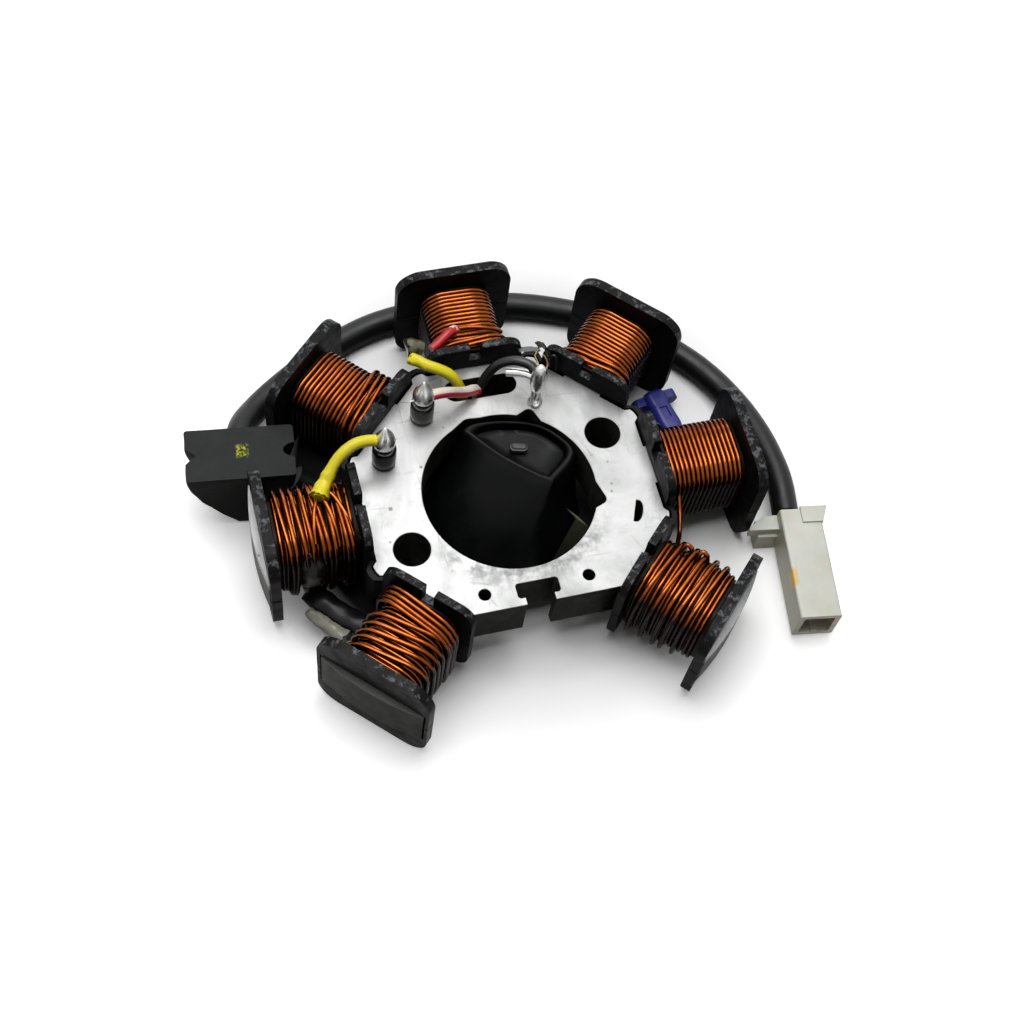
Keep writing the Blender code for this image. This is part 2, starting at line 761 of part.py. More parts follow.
# The rest goes round outside the poles: the pole's angle, then how far beyond its flange face,
# how far across the pole and how high
HARNESS_CABLE_ROUND = [
    (135.0, 6.7, 6.2, 3.4),
    (135.0, 6.7, 2.5, 2.7),
    (135.0, 6.3, -1.0, 2.5),
    (135.0, 5.4, -5.5, 2.5),
    (135.0, 3.9, -11.1, 2.5),
    (90.0, 1.6, 18.8, 2.5),
    (90.0, 3.8, 11.4, 2.5),
    (90.0, 4.5, 3.6, 2.5),
    (90.0, 4.4, -4.8, 2.5),
    (90.0, 3.2, -13.0, 2.5),
    (45.0, 2.7, 16.1, 2.5),
    (45.0, 5.6, 8.2, 2.5),
    (45.0, 7.1, -0.3, 2.5),
    (45.0, 7.3, -8.4, 2.5),
    (0.0, 3.2, 23.0, 2.6),
    (0.0, 6.4, 15.2, 3.2),
    (0.0, 7.9, 7.6, 4.2),
    (0.0, 8.3, 0.8, 4.8),
    (0.0, 8.1, -3.4, 4.9),
    (0.0, 7.6, -6.6, 4.8),
    (0.0, 7.2, -9.0, 4.7),
]

HARNESS_STUB_ROUTE = [
    (-34.3, 15.0, 5.6),
    (-32.6, 14.1, 4.5),
    (-30.6, 12.8, 3.3),
    (-28.2, 11.7, 2.6),
    (-24.9, 10.3, 2.5),
    (-21.5, 8.9, 2.5),
    (-18.5, 8.6, 2.5),
    (-15.6, 9.8, 2.5),
    (-13.3, 12.0, 2.5),
    (-11.4, 14.6, 2.5),
    (-9.4, 17.1, 2.6),
    (-7.0, 19.2, 2.7),
]

# Leads on top of the hub: heights from the plate's upper face

YELLOW_COIL_ABOVE = [
    (-22.0, 9.5, 7.8),
    (-23.4, 9.4, 8.1),
    (-25.2, 9.0, 8.2),
    (-27.4, 8.0, 7.5),
    (-29.2, 6.6, 6.3),
    (-30.6, 5.0, 5.2),
    (-31.6, 3.6, 4.7),
    (-32.4, 2.2, 4.7),
]

YELLOW_HARNESS_ABOVE = [
    (-11.4, 26.4, 4.4),
    (-10.3, 25.3, 4.7),
    (-8.9, 24.2, 4.6),
    (-7.1, 23.4, 4.1),
    (-5.2, 22.6, 3.0),
    (-4.0, 21.8, 1.1),
    (-3.2, 21.3, -1.6),
    (-2.9, 21.2, -4.6),
]

WHITE_ABOVE = [
    (-9.0, 17.0, 6.7),
    (-7.4, 17.4, 6.0),
    (-5.6, 18.0, 4.6),
    (-3.4, 18.7, 3.0),
    (-1.6, 19.7, 1.6),
    (-0.5, 20.6, -0.6),
    (-0.3, 20.8, -3.6),
]

BLACK_ABOVE = [
    (6.6, 17.4, 7.8),
    (6.0, 18.6, 7.8),
    (4.9, 20.2, 7.0),
    (3.8, 21.0, 4.8),
    (3.0, 21.2, 1.4),
    (2.8, 21.0, -2.6),
]

RED_ABOVE = [
    (-7.4, 27.8, 4.0),
    (-6.0, 28.6, 4.2),
    (-4.8, 29.4, 4.6),
    (-3.6, 30.2, 4.7),
    (-2.4, 30.8, 4.4),
]

# Their lower ends, through the oblong slot: heights from the floor

YELLOW_HARNESS_BELOW = [
    (-2.9, 21.2, 8.6),
    (-3.3, 21.4, 6.4),
    (-4.4, 21.6, 4.7),
    (-5.7, 21.4, 3.8),
    (-7.1, 20.6, 3.5),
]

WHITE_BELOW = [
    (-0.3, 20.9, 9.4),
    (-0.4, 20.8, 7.4),
    (-1.0, 20.6, 5.2),
    (-2.2, 20.2, 4.0),
    (-3.9, 19.6, 3.6),
    (-5.5, 18.7, 3.5),
]

BLACK_BELOW = [
    (2.8, 21.0, 9.6),
    (2.6, 21.0, 6.6),
    (1.6, 21.0, 3.6),
    (-0.8, 21.0, 1.8),
    (-3.6, 20.8, 1.5),
    (-6.3, 19.8, 1.5),
]

# From the blue housing: its first points move with the flange of the pole at 45 degrees
BLUE_LEAD_START = [
    (45.0, -10.3, -18.4, 2.4),
    (45.0, -11.2, -19.3, 2.0),
    (45.0, -12.5, -19.7, 1.4),
]

BLUE_LEAD_ROUTE = [
    (33.6, 6.5, 1.0),
    (31.0, 6.6, 0.9),
    (28.2, 7.8, 0.9),
    (25.4, 9.0, 0.9),
    (22.9, 10.2, 0.9),
    (20.6, 11.7, 0.9),
    (18.2, 13.6, 0.9),
    (15.2, 15.4, 0.9),
    (11.6, 16.3, 0.9),
    (7.0, 16.4, 0.9),
    (2.6, 16.0, 1.0),
    (-1.4, 15.0, 1.4),
    (-4.2, 14.0, 2.0),
    (-5.8, 13.8, 2.3),
    (-7.1, 14.1, 2.5),
]

PICKUP_LEAD_ROUTE = [
    (-2.4, 13.5, 4.4),
    (-2.7, 14.6, 4.7),
    (-3.6, 15.5, 4.4),
    (-4.6, 16.0, 3.9),
    (-5.6, 16.2, 3.2),
]


def beyond_flange(points):
    """Points given from a pole's flange face, as millimetres from the bore axis."""
    face = FLANGE_FACE / MM
    return [(*turned_point((face + out, across), angle), z) for angle, out, across, z in points]


def above_plate(points):
    return [(x, y, PLATE_TOP / MM + z) for x, y, z in points]


def build_harness(axis):
    cable = HARNESS_CABLE_START + beyond_flange(HARNESS_CABLE_ROUND)
    cord("harness_cable", cable, CABLE_DIAMETER, "black", axis)
    cord("harness_stub", HARNESS_STUB_ROUTE, CABLE_DIAMETER, "black", axis)
    cord("yellow_lead_coil", above_plate(YELLOW_COIL_ABOVE), YELLOW_DIAMETER, "yellow", axis)
    yellow = above_plate(YELLOW_HARNESS_ABOVE) + YELLOW_HARNESS_BELOW
    cord("yellow_lead_harness", yellow, YELLOW_DIAMETER, "yellow", axis)
    cord("white_lead", above_plate(WHITE_ABOVE) + WHITE_BELOW, WHITE_DIAMETER, "white", axis)
    cord("black_lead", above_plate(BLACK_ABOVE) + BLACK_BELOW, BLACK_DIAMETER, "black", axis)
    cord("red_sleeve", above_plate(RED_ABOVE), RED_DIAMETER, "red", axis)
    blue = beyond_flange(BLUE_LEAD_START) + BLUE_LEAD_ROUTE
    cord("blue_lead", blue, THIN_LEAD_DIAMETER, "blue", axis)
    cord("pickup_lead", PICKUP_LEAD_ROUTE, THIN_LEAD_DIAMETER, "black", axis)


# Grommet

def grommet_profile(inset):
    """U seen from the front: flat top, rounded sides and a small flat below."""
    half = GROMMET_WIDTH / 2 - inset
    floor = inset
    centre = GROMMET_ROUND
    points = [(-half, GROMMET_HEIGHT), (half, GROMMET_HEIGHT)]
    steps = 12
    for i in range(steps + 1):
        turn = -180.0 * i / steps
        x, z = polar(1.0, turn)
        height = centre + (GROMMET_ROUND - inset + 0.4 * MM) * z
        points.append((half * x, max(height, floor)))
    return points


def grommet_mesh():
    """Rubber block with a groove round its sides and floor for the wall that holds it."""
    groove = GROMMET_GROOVE
    depth = GROMMET_DEPTH
    lip = GROMMET_LIP
    edge = 0.4 * MM
    stations = [
        (-depth / 2, edge),
        (-depth / 2 + edge, 0.0),
        (-depth / 2 + lip, 0.0),
        (-depth / 2 + lip + 0.6 * MM, groove),
        (depth / 2 - lip - 0.6 * MM, groove),
        (depth / 2 - lip, 0.0),
        (depth / 2 - edge, 0.0),
        (depth / 2, edge),
    ]
    rings = []
    for y, inset in stations:
        rings.append([(x, y, z) for x, z in grommet_profile(inset)])
    return smooth(loft(rings))


def build_grommet(axis):
    place("cable_grommet", grommet_mesh(), "rubber", axis, (*GROMMET_SPOT, 0.0), GROMMET_TURN)


# Housings

# From the flange face of the pole at 0 degrees: the middle of the housing's cable end
HOUSING_END = (0.0, 8.6, -10.3, 0.0)
# From the flange face of the pole at 45 degrees: the middle of the blue housing
BLUE_SPOT = (45.0, -6.9, -13.5, 0.0)


def left_wing():
    """The longer, lower wing, with a slanted end."""
    side = -HOUSING_WIDTH / 2
    front = -WING_LENGTH
    reach = side - LEFT_WING_REACH
    inside = side + OVERLAP
    blunt = front + 0.5 * MM
    outline = [(inside, 0), (reach + LEFT_WING_SLANT, 0), (reach, blunt), (reach, front), (inside, front)]
    low = HOUSING_FLOOR + LEFT_WING_RISE
    return slab(outline, low, low + WING_THICKNESS)


def right_wing():
    """The short wing, which starts as a band over the top of the cable end."""
    side = HOUSING_WIDTH / 2
    front = -WING_LENGTH
    outline = [(0, CLEARANCE), (0, front), (side, front), (side + RIGHT_WING_REACH, CLEARANCE)]
    low = HOUSING_FLOOR + RIGHT_WING_RISE
    return slab(outline, low, HOUSING_FLOOR + HOUSING_HEIGHT + RIGHT_WING_PROUD)


def wing_foot():
    """The block under the left wing, down to the floor."""
    side = -HOUSING_WIDTH / 2
    front = -WING_LENGTH + CLEARANCE - FOOT_LENGTH / 4
    low = (side - FOOT_REACH, front, 0.1 * MM)
    high = (side + OVERLAP, front + FOOT_LENGTH, HOUSING_FLOOR + LEFT_WING_RISE + OVERLAP)
    return box(low, high)


def lying(mesh):
    """Turn a mesh built up from the housing's mouth so that it lies along Y, mouth forward."""
    mesh.transform(Matrix.Rotation(math.radians(-90.0), 4, "X"))
    mesh.transform(Matrix.Translation((0, -HOUSING_LENGTH, HOUSING_FLOOR + HOUSING_HEIGHT / 2)))
    return mesh


def housing_mesh():
    """Open-ended nylon housing: cable end at the origin, mouth at -Y, a wing on either side."""
    body = slab(rounded_rectangle(HOUSING_WIDTH, HOUSING_HEIGHT, 0.7 * MM, 2), 0.0, HOUSING_LENGTH)
    wide = HOUSING_WIDTH - 2 * HOUSING_WALL
    tall = HOUSING_HEIGHT - 2 * HOUSING_WALL
    cavity = slab(rounded_rectangle(wide, tall, 0.4 * MM, 1), -OVERLAP, HOUSING_CAVITY)
    entry = slab(
        circle((0, 0), WIRE_ENTRY_DIAMETER / 2, 14), HOUSING_LENGTH - 2.0 * MM, HOUSING_LENGTH + OVERLAP
    )
    shell = lying(combine(body, [("DIFFERENCE", cavity), ("DIFFERENCE", entry)]))
    steps = [("UNION", left_wing()), ("UNION", wing_foot()), ("UNION", right_wing())]
    return combine(shell, steps)


def terminal_mesh(side):
    """One crimped blade that stands on the floor of the housing's cavity."""
    back = HOUSING_CAVITY - CLEARANCE
    x = side * TERMINAL_PITCH / 2
    half = TERMINAL_WIDTH / 2
    thin = TERMINAL_THICKNESS / 2
    return lying(box((x - half, -thin, back - TERMINAL_LENGTH), (x + half, thin, back)))


def spot_beyond_flange(spot):
    point = beyond_flange([spot])[0]
    return Vector(point) * MM


def build_housing(axis):
    spot = spot_beyond_flange(HOUSING_END)
    place("white_connector", housing_mesh(), "nylon", axis, spot, HOUSING_TURN)
    for number, side in enumerate((-1, 1), start=1):
        place(f"connector_terminal_{number}", terminal_mesh(side), "solder", axis, spot, HOUSING_TURN)


def blue_mesh():
    """Small plug body along X with two latch ears at its far end."""
    half_length = BLUE_LENGTH / 2
    rings = []
    for share, width, height in ((-1.0, 0.84, 0.8), (-0.85, 1.0, 1.0), (0.4, 1.0, 1.0), (1.0, 0.88, 0.92)):
        outline = rounded_rectangle(BLUE_WIDTH * width, BLUE_HEIGHT * height, 1.2 * MM, 3)
        rings.append([(share * half_length, a, b) for a, b in outline])
    body = loft(rings)
    ear_outline = rounded_rectangle(BLUE_EAR_SPAN, BLUE_EAR_HEIGHT, 1.1 * MM, 3)
    start = -half_length + 0.4 * MM
    ear = slab(ear_outline, start, start + BLUE_EAR_LENGTH, along="x")
    return combine(body, [("UNION", ear)])


def build_blue(axis):
    spot = spot_beyond_flange(BLUE_SPOT) + Vector((0, 0, BLUE_HEIGHT / 2 + 0.1 * MM))
    place("blue_connector", blue_mesh(), "blue", axis, spot, BLUE_TURN)


# Pick-up coil, in millimetres from the bore axis

PICKUP_BASE = [
    (-8.5, 12.0),
    (-11.5, 9.6),
    (-14.4, 6.2),
    (-13.2, -0.5),
    (-9.6, -5.2),
    (-3.6, -8.6),
    (2.4, -10.6),
    (11.6, -5.0),
    (14.4, 2.0),
    (12.6, 7.4),
    (9.0, 12.0),
    (1.0, 13.0),
]
PICKUP_TOP = [
    (-4.9, 13.3),
    (-3.7, 11.4),
    (-1.6, 8.6),
    (0.5, 6.1),
    (3.6, 3.2),
    (7.2, 0.4),
    (8.6, 0.9),
    (12.9, 4.9),
    (11.2, 8.9),
    (7.6, 12.0),
    (2.2, 13.7),
    (-2.4, 14.1),
]
PICKUP_RECESS_MIDDLE = (5.6, 9.4)
BRACKET_START = (6.0, -11.6, 2.5)
BRACKET_END = (11.4, -7.0, 11.5)
BRACKET_TAB = (-1.2, 2.4, 0.0)
TIP_SPOT = (3.9 * MM, 8.4 * MM)
TIP_TURN = -14.0


def pickup_ring(points, z):
    return [(x * MM, y * MM, z) for x, y in points]


def pickup_recess_ring(z):
    middle = Vector(PICKUP_RECESS_MIDDLE)
    ring = []
    for x, y in PICKUP_TOP:
        point = middle + (Vector((x, y)) - middle) * PICKUP_RIM
        ring.append((point.x * MM, point.y * MM, z))
    return ring


def pickup_mesh():
    """Moulded body: a low foot, sides that lean in to a narrow top, and a shallow recess there."""
    rings = [
        pickup_ring(PICKUP_BASE, 0.1 * MM),
        pickup_ring(PICKUP_BASE, PICKUP_FOOT),
        pickup_ring(PICKUP_TOP, PICKUP_HEIGHT),
        pickup_recess_ring(PICKUP_HEIGHT),
        pickup_recess_ring(PICKUP_HEIGHT - PICKUP_RECESS),
    ]
    return loft(rings)


def tip_mesh():
    outline = rounded_rectangle(TIP_LENGTH, TIP_WIDTH, TIP_WIDTH / 2 - 0.05 * MM, 3)
    low = PICKUP_HEIGHT - PICKUP_RECESS + CLEARANCE
    return slab(outline, low, low + TIP_RISE)


def bracket_mesh():
    """Bent steel strip in front of the body, rising to the right."""
    low = Vector(BRACKET_START) * MM
    high = Vector(BRACKET_END) * MM
    run = (high - low).normalized()
    across = Vector((run.y, -run.x, 0)).normalized() * BRACKET_WIDTH / 2
    up = Vector((0, 0, BRACKET_THICKNESS))
    tab = Vector(BRACKET_TAB) * MM
    rings = []
    for point in (low, low.lerp(high, 0.5), high, high + tab):
        rings.append([point - across, point + across, point + across + up, point - across + up])
    return loft(rings)


def build_pickup(axis):
    place("pickup_bracket", bracket_mesh(), "bracket", axis)
    place("pickup_body", pickup_mesh(), "black", axis)
    place("pickup_pole_tip", tip_mesh(), "solder", axis, (*TIP_SPOT, 0.0), TIP_TURN)


def build():
    clear_scene()
    axis = bpy.data.objects.new("bore_axis", None)
    axis.location = (0, AXIS_Y, 0)
    bpy.context.scene.collection.objects.link(axis)
    build_core(axis)
    build_insulators(axis)
    build_coils(axis)
    build_terminals(axis)
    build_harness(axis)
    build_grommet(axis)
    build_housing(axis)
    build_blue(axis)
    build_pickup(axis)


build()
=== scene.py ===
# Looks of the wound stator: laminated core, moulded bobbins, wound copper, solder, leads,
# harness, grommet and housings, on a pale floor with dark painted areas, under soft studio light.

import math
import random

import bmesh
import bpy
from mathutils import Matrix, Vector, noise
from mathutils.geometry import tessellate_polygon


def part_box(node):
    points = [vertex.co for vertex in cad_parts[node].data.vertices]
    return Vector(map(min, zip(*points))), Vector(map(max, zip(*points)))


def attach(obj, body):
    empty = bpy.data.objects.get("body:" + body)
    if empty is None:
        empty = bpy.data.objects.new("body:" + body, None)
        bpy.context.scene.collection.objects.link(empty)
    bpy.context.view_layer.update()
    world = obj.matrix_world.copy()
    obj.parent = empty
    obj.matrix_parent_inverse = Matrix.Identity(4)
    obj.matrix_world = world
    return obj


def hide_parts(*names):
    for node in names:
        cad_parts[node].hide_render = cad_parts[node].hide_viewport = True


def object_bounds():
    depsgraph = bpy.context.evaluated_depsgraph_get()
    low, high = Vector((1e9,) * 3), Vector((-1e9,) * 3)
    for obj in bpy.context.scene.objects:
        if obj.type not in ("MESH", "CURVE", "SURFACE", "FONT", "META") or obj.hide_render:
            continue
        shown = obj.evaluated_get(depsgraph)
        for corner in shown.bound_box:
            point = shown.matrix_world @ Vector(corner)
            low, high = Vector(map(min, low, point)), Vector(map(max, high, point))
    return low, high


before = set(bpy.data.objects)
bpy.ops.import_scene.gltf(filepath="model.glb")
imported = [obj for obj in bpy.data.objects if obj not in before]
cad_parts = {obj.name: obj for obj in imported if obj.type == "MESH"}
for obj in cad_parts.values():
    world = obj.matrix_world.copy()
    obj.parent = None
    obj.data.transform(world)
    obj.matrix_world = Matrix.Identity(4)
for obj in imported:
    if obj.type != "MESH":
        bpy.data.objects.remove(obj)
CAD_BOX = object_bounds()

MM = 0.001
BOX_INSET = 0.02 * MM
BODY = "root"

# Core
SHOE_RADIUS = 44.0 * MM
SHOE_WIDTH = 19.2 * MM
SHOE_TIP = 0.9 * MM
TOOTH_WIDTH = 7.4 * MM
BORE_RADIUS = 15.0 * MM
HUB_APOTHEM = 25.0 * MM
HUB_FLAT_HALF = 8.7 * MM
HUB_CORNER_RISE = 0.5 * MM
HUB_CORNER_HALF_ANGLE = 2.2
FRONT_EDGE = 21.5 * MM
BORE_NOTCHES = (
    (-25.0, -17.9, -5.2, 1.6 * MM), (54.0, 63.3, 70.8, 1.7 * MM), (95.8, 105.5, 117.4, 0.6 * MM),
)
BOLT_HOLE_RADIUS = 3.15 * MM
BOLT_CIRCLE_RADIUS = 20.3 * MM
BOLT_ANGLES = (22.5, 202.5)
RIVET_HOLE_RADIUS = 1.05 * MM
RIVET_CIRCLE_RADIUS = 20.4 * MM
RIVET_ANGLES = (-116.0, -64.0)
KEY_HOLE_ANGLE = -22.3
KEY_HOLE_FLAT = 21.6 * MM
KEY_HOLE_DEPTH = 1.4 * MM
KEY_HOLE_WIDTH = 4.2 * MM
WIRE_SLOT_LENGTH = 13.0 * MM
WIRE_SLOT_WIDTH = 4.2 * MM
WIRE_SLOT_Y = 21.0 * MM
T_SLOT_NECK = 4.9 * MM
T_SLOT_HEAD = 7.3 * MM
T_SLOT_LIP = 1.3 * MM
T_SLOT_DEPTH = 4.0 * MM
SHEETS = 18
SEAM = 0.04 * MM
SEAM_HALF = 0.05 * MM
EDGE_ROUND = 0.08 * MM

# Bobbins
FLANGE_HALF_HEIGHT = 11.0 * MM
FLANGE_WIDTH = 21.0 * MM
FLANGE_FACE = 42.8 * MM
FLANGE_INNER_FACE = 41.0 * MM
FLANGE_CORNER = 4.5 * MM
TAB_WIDTH = 17.0 * MM
TAB_FACE = 25.3 * MM
TAB_THICKNESS = 1.4 * MM
UPPER_TAB_RISE = 5.7 * MM
LOWER_TAB_RISE = 4.1 * MM
TAB_CORNER = 3.0 * MM
TAB_NOTCH_WIDTH = 2.2 * MM
TAB_NOTCH_FLOOR = 2.3 * MM
WALL = 0.9 * MM
GAP = 0.3 * MM
LINER_REACH = 7.4 * MM
OVERLAP = 0.4 * MM
BEVEL = 0.3 * MM

# Windings
WIRE = 0.9 * MM
COIL_HALF_WIDTH = 6.5 * MM
COIL_HALF_HEIGHT = 7.9 * MM
COIL_CORNER = 3.6 * MM

# Terminals
POST_RADIUS = 2.1 * MM
POST_HEIGHT = 5.2 * MM
POST_1_SPOT = (-19.8 * MM, 9.4 * MM)
POST_2_SPOT = (-11.5 * MM, 16.9 * MM)
SOLDER_RADIUS = 1.9 * MM
SOLDER_HEIGHT = 6.0 * MM
GROUND_SPOT = (8.7 * MM, 16.2 * MM)
PIN_HEIGHT = 4.6 * MM
EGG_RADIUS = 1.45 * MM
EGG_HEIGHT = 7.6 * MM

# Grommet, and along it how far its left and right sides are cut in
GROMMET_WIDTH = 18.4 * MM
GROMMET_HEIGHT = 15.4 * MM
GROMMET_TAPER = 1.7
GROMMET_SPOT = (-43.2 * MM, 16.1 * MM)
GROMMET_TURN = -6.5
GROMMET_STATIONS = (
    (-5.0, 0.45, 0.45), (-4.8, 0.1, 0.1), (-4.5, 0.0, 0.0), (-3.0, 0.0, 0.0), (-1.5, 0.0, 0.0),
    (-1.1, 0.5, 1.2), (-0.6, 1.1, 1.75), (0.0, 1.9, 1.9), (0.6, 1.2, 1.75), (1.1, 0.5, 1.2),
    (1.5, 0.0, 0.0), (3.0, 0.0, 0.0), (4.5, 0.0, 0.0), (4.8, 0.1, 0.1), (5.0, 0.45, 0.45),
)

# White housing; its wings and foot are outlines with a low and a high level, in millimetres
HOUSING_SIZE = 7.4 * MM
HOUSING_LENGTH = 21.0 * MM
HOUSING_WALL = 1.0 * MM
HOUSING_CAVITY = 9.0 * MM
HOUSING_FLOOR = 0.9 * MM
HOUSING_TURN = -8.8
HOUSING_END = (0.0, 8.6, -10.3, 0.0)
HOUSING_WINGS = (
    (((-3.3, 0.0), (-6.1, 0.0), (-9.1, -2.3), (-9.1, -2.8), (-3.3, -2.8)), 4.0, 6.2),
    (((0.0, 0.3), (0.0, -2.8), (3.7, -2.8), (4.9, 0.3)), 6.7, 8.7),
    (((-7.3, -3.35), (-3.3, -3.35), (-3.3, 0.0), (-7.3, 0.0)), 0.1, 4.4),
)

# Blue housing: its rings are x in millimetres, then shares of the width and the height
BLUE_WIDTH = 4.2 * MM
BLUE_HEIGHT = 4.8 * MM
BLUE_TURN = -80.0
BLUE_SPOT = (45.0, -6.9, -13.5, 0.0)
BLUE_RINGS = (
    (-5.25, 0.84, 0.8), (-4.5, 1.0, 1.0), (-2.6, 1.0, 1.0),
    (-1.8, 0.93, 0.95), (2.1, 1.0, 1.0), (5.25, 0.88, 0.92),
)

# Cable and thin leads, in millimetres from the bore axis and the floor
CABLE_DIAMETER = 4.8 * MM
CABLE_START = ((-42.5, 22.2, 6.0), (-42.2, 25.0, 5.8), (-41.3, 27.8, 4.8))
# The rest: a pole's angle, how far beyond its flange face, across it, and the height
CABLE_ROUND = (
    (135, 6.7, 6.2, 3.4), (135, 6.7, 2.5, 2.7), (135, 6.3, -1.0, 2.5), (135, 5.4, -5.5, 2.5),
    (135, 3.9, -11.1, 2.5), (90, 1.6, 18.8, 2.5), (90, 3.8, 11.4, 2.5), (90, 4.5, 3.6, 2.5),
    (90, 4.4, -4.8, 2.5), (90, 3.2, -13.0, 2.5), (45, 2.7, 16.1, 2.5), (45, 5.6, 8.2, 2.5),
    (45, 7.1, -0.3, 2.5), (45, 7.3, -8.4, 2.5), (0, 3.2, 23.0, 2.6), (0, 6.4, 15.2, 3.2),
    (0, 7.9, 7.6, 4.2), (0, 8.3, 0.8, 4.8), (0, 8.1, -3.4, 4.9), (0, 7.6, -6.6, 4.8),
    (0, 7.2, -9.0, 4.7),
)
STUB = (
    (-34.3, 15.0, 5.6), (-32.6, 14.1, 4.5), (-30.6, 12.8, 3.3), (-28.2, 11.7, 2.6),
    (-24.9, 10.3, 2.5), (-21.5, 8.9, 2.5), (-18.5, 8.6, 2.5), (-15.6, 9.8, 2.5), (-13.3, 12.0, 2.5),
    (-11.4, 14.6, 2.5), (-9.4, 17.1, 2.6), (-7.0, 19.2, 2.7),
)
BLUE_LEAD_START = ((45, -10.3, -18.4, 2.4), (45, -11.2, -19.3, 2.0), (45, -12.5, -19.7, 1.4))
BLUE_LEAD = (
    (33.6, 6.5, 1.0), (31.0, 6.6, 0.9), (28.2, 7.8, 0.9), (25.4, 9.0, 0.9), (22.9, 10.2, 0.9),
    (20.6, 11.7, 0.9), (18.2, 13.6, 0.9), (15.2, 15.4, 0.9), (11.6, 16.3, 0.9), (7.0, 16.4, 0.9),
    (2.6, 16.0, 1.0), (-1.4, 15.0, 1.4), (-4.2, 14.0, 2.0), (-5.8, 13.8, 2.3), (-7.1, 14.1, 2.5),
)
PICKUP_LEAD = ((-2.4, 13.5, 4.4), (-2.7, 14.6, 4.7), (-3.6, 15.5, 4.4), (-4.6, 16.0, 3.9), (-5.6, 16.2, 3.2))
YELLOW_BELOW = ((-2.9, 21.2, 8.6), (-3.3, 21.4, 6.4), (-4.4, 21.6, 4.7), (-5.7, 21.4, 3.8), (-7.1, 20.6, 3.5))
WHITE_BELOW = (
    (-0.3, 20.9, 9.4), (-0.4, 20.8, 7.4), (-1.0, 20.6, 5.2), (-2.2, 20.2, 4.0), (-3.9, 19.6, 3.6),
    (-5.5, 18.7, 3.5),
)
BLACK_BELOW = (
    (2.8, 21.0, 9.6), (2.6, 21.0, 6.6), (1.6, 21.0, 3.6), (-0.8, 21.0, 1.8), (-3.6, 20.8, 1.5),
    (-6.3, 19.8, 1.5),
)

# Leads and scraps on top of the hub, in millimetres from the bore axis and the plate's upper face
YELLOW_COIL = (
    (-21.4, 9.5, 7.6), (-22.0, 9.5, 7.8), (-23.4, 9.4, 8.1), (-25.2, 9.0, 8.2), (-27.4, 8.0, 7.5),
    (-29.2, 6.6, 6.3), (-30.6, 5.0, 5.2), (-31.6, 3.6, 4.7), (-32.4, 2.2, 4.7),
)
YELLOW_STRANDS = (
    ((-31.9, 2.9, 4.4), (-31.4, 1.2, 4.5), (-30.9, -0.9, 4.2), (-30.6, -3.4, 3.4), (-30.5, -5.3, 2.3)),
    ((-31.2, 4.0, 4.4), (-29.9, 2.4, 4.3), (-29.0, 0.4, 4.0), (-28.3, -2.0, 3.5), (-27.9, -4.6, 2.6)),
    ((-32.8, 2.0, 4.2), (-33.5, 0.2, 4.2), (-34.0, -2.2, 3.8), (-34.3, -5.0, 2.7)),
)
YELLOW_HARNESS = (
    (-11.4, 26.4, 4.4), (-10.3, 25.3, 4.7), (-8.9, 24.2, 4.6), (-7.1, 23.4, 4.1), (-5.2, 22.6, 3.0),
    (-4.0, 21.8, 1.1), (-3.2, 21.3, -1.6), (-2.9, 21.2, -4.6),
)
WHITE_ABOVE = (
    (-10.0, 16.8, 6.9), (-9.0, 17.0, 6.7), (-7.4, 17.4, 6.0), (-5.6, 18.0, 4.6), (-3.4, 18.7, 3.0),
    (-1.6, 19.7, 1.6), (-0.5, 20.6, -0.6), (-0.3, 20.8, -3.6),
)
BLACK_ABOVE = (
    (8.4, 18.0, 7.2), (7.7, 19.2, 7.6), (5.4, 20.6, 7.4), (3.0, 21.3, 6.0), (1.2, 21.2, 3.6),
    (0.0, 20.7, 0.8), (0.0, 20.7, -2.6),
)
RED_ABOVE = ((-7.4, 27.8, 4.0), (-6.0, 28.6, 4.2), (-4.8, 29.4, 4.6), (-3.6, 30.2, 4.7), (-2.4, 30.8, 4.4))
RED_END = ((-3.2, 30.4, 4.65), (-2.7, 30.65, 4.5), (-2.2, 30.9, 4.4))
RED_WIRE = ((-1.8, 31.0, 4.3), (0.0, 31.0, 4.2), (2.4, 30.6, 4.1), (4.6, 30.2, 3.6), (5.9, 30.0, 2.6))
GROUND_LOOP = (
    (8.1, 16.6, 3.6), (8.0, 15.9, 1.6), (8.15, 15.3, 0.6), (8.6, 15.1, 0.45), (9.05, 15.3, 0.7),
    (9.2, 15.9, 1.8), (9.1, 16.5, 3.6),
)
GROUND_STRAND = ((8.6, 17.8, 5.4), (7.4, 18.9, 5.2), (5.8, 19.8, 4.9), (4.2, 20.4, 4.6))
TAPE = ((12.3, 22.0, 2.2), (12.4, 22.6, 3.6), (12.0, 23.2, 5.2), (11.2, 23.4, 6.4), (10.2, 23.6, 6.2))
TAPE_TAB = ((7.7, 25.0, 3.6), (9.2, 24.7, 3.8), (10.8, 24.2, 3.9))
OLIVE_SLEEVE = ((-9.0, 28.2, 4.2), (-9.9, 28.4, 4.6), (-10.9, 28.4, 5.0), (-11.9, 28.3, 5.0))
PALE_SLEEVE = ((-36.2, -9.0, -13.6), (-34.6, -11.4, -13.6), (-32.8, -13.8, -13.5), (-31.2, -15.6, -13.4))
DARK_MASS = (
    (-35.6, -5.6, -12.9), (-34.0, -8.0, -12.9), (-31.8, -10.6, -12.9),
    (-29.2, -13.2, -12.9), (-26.4, -15.4, -12.9),
)
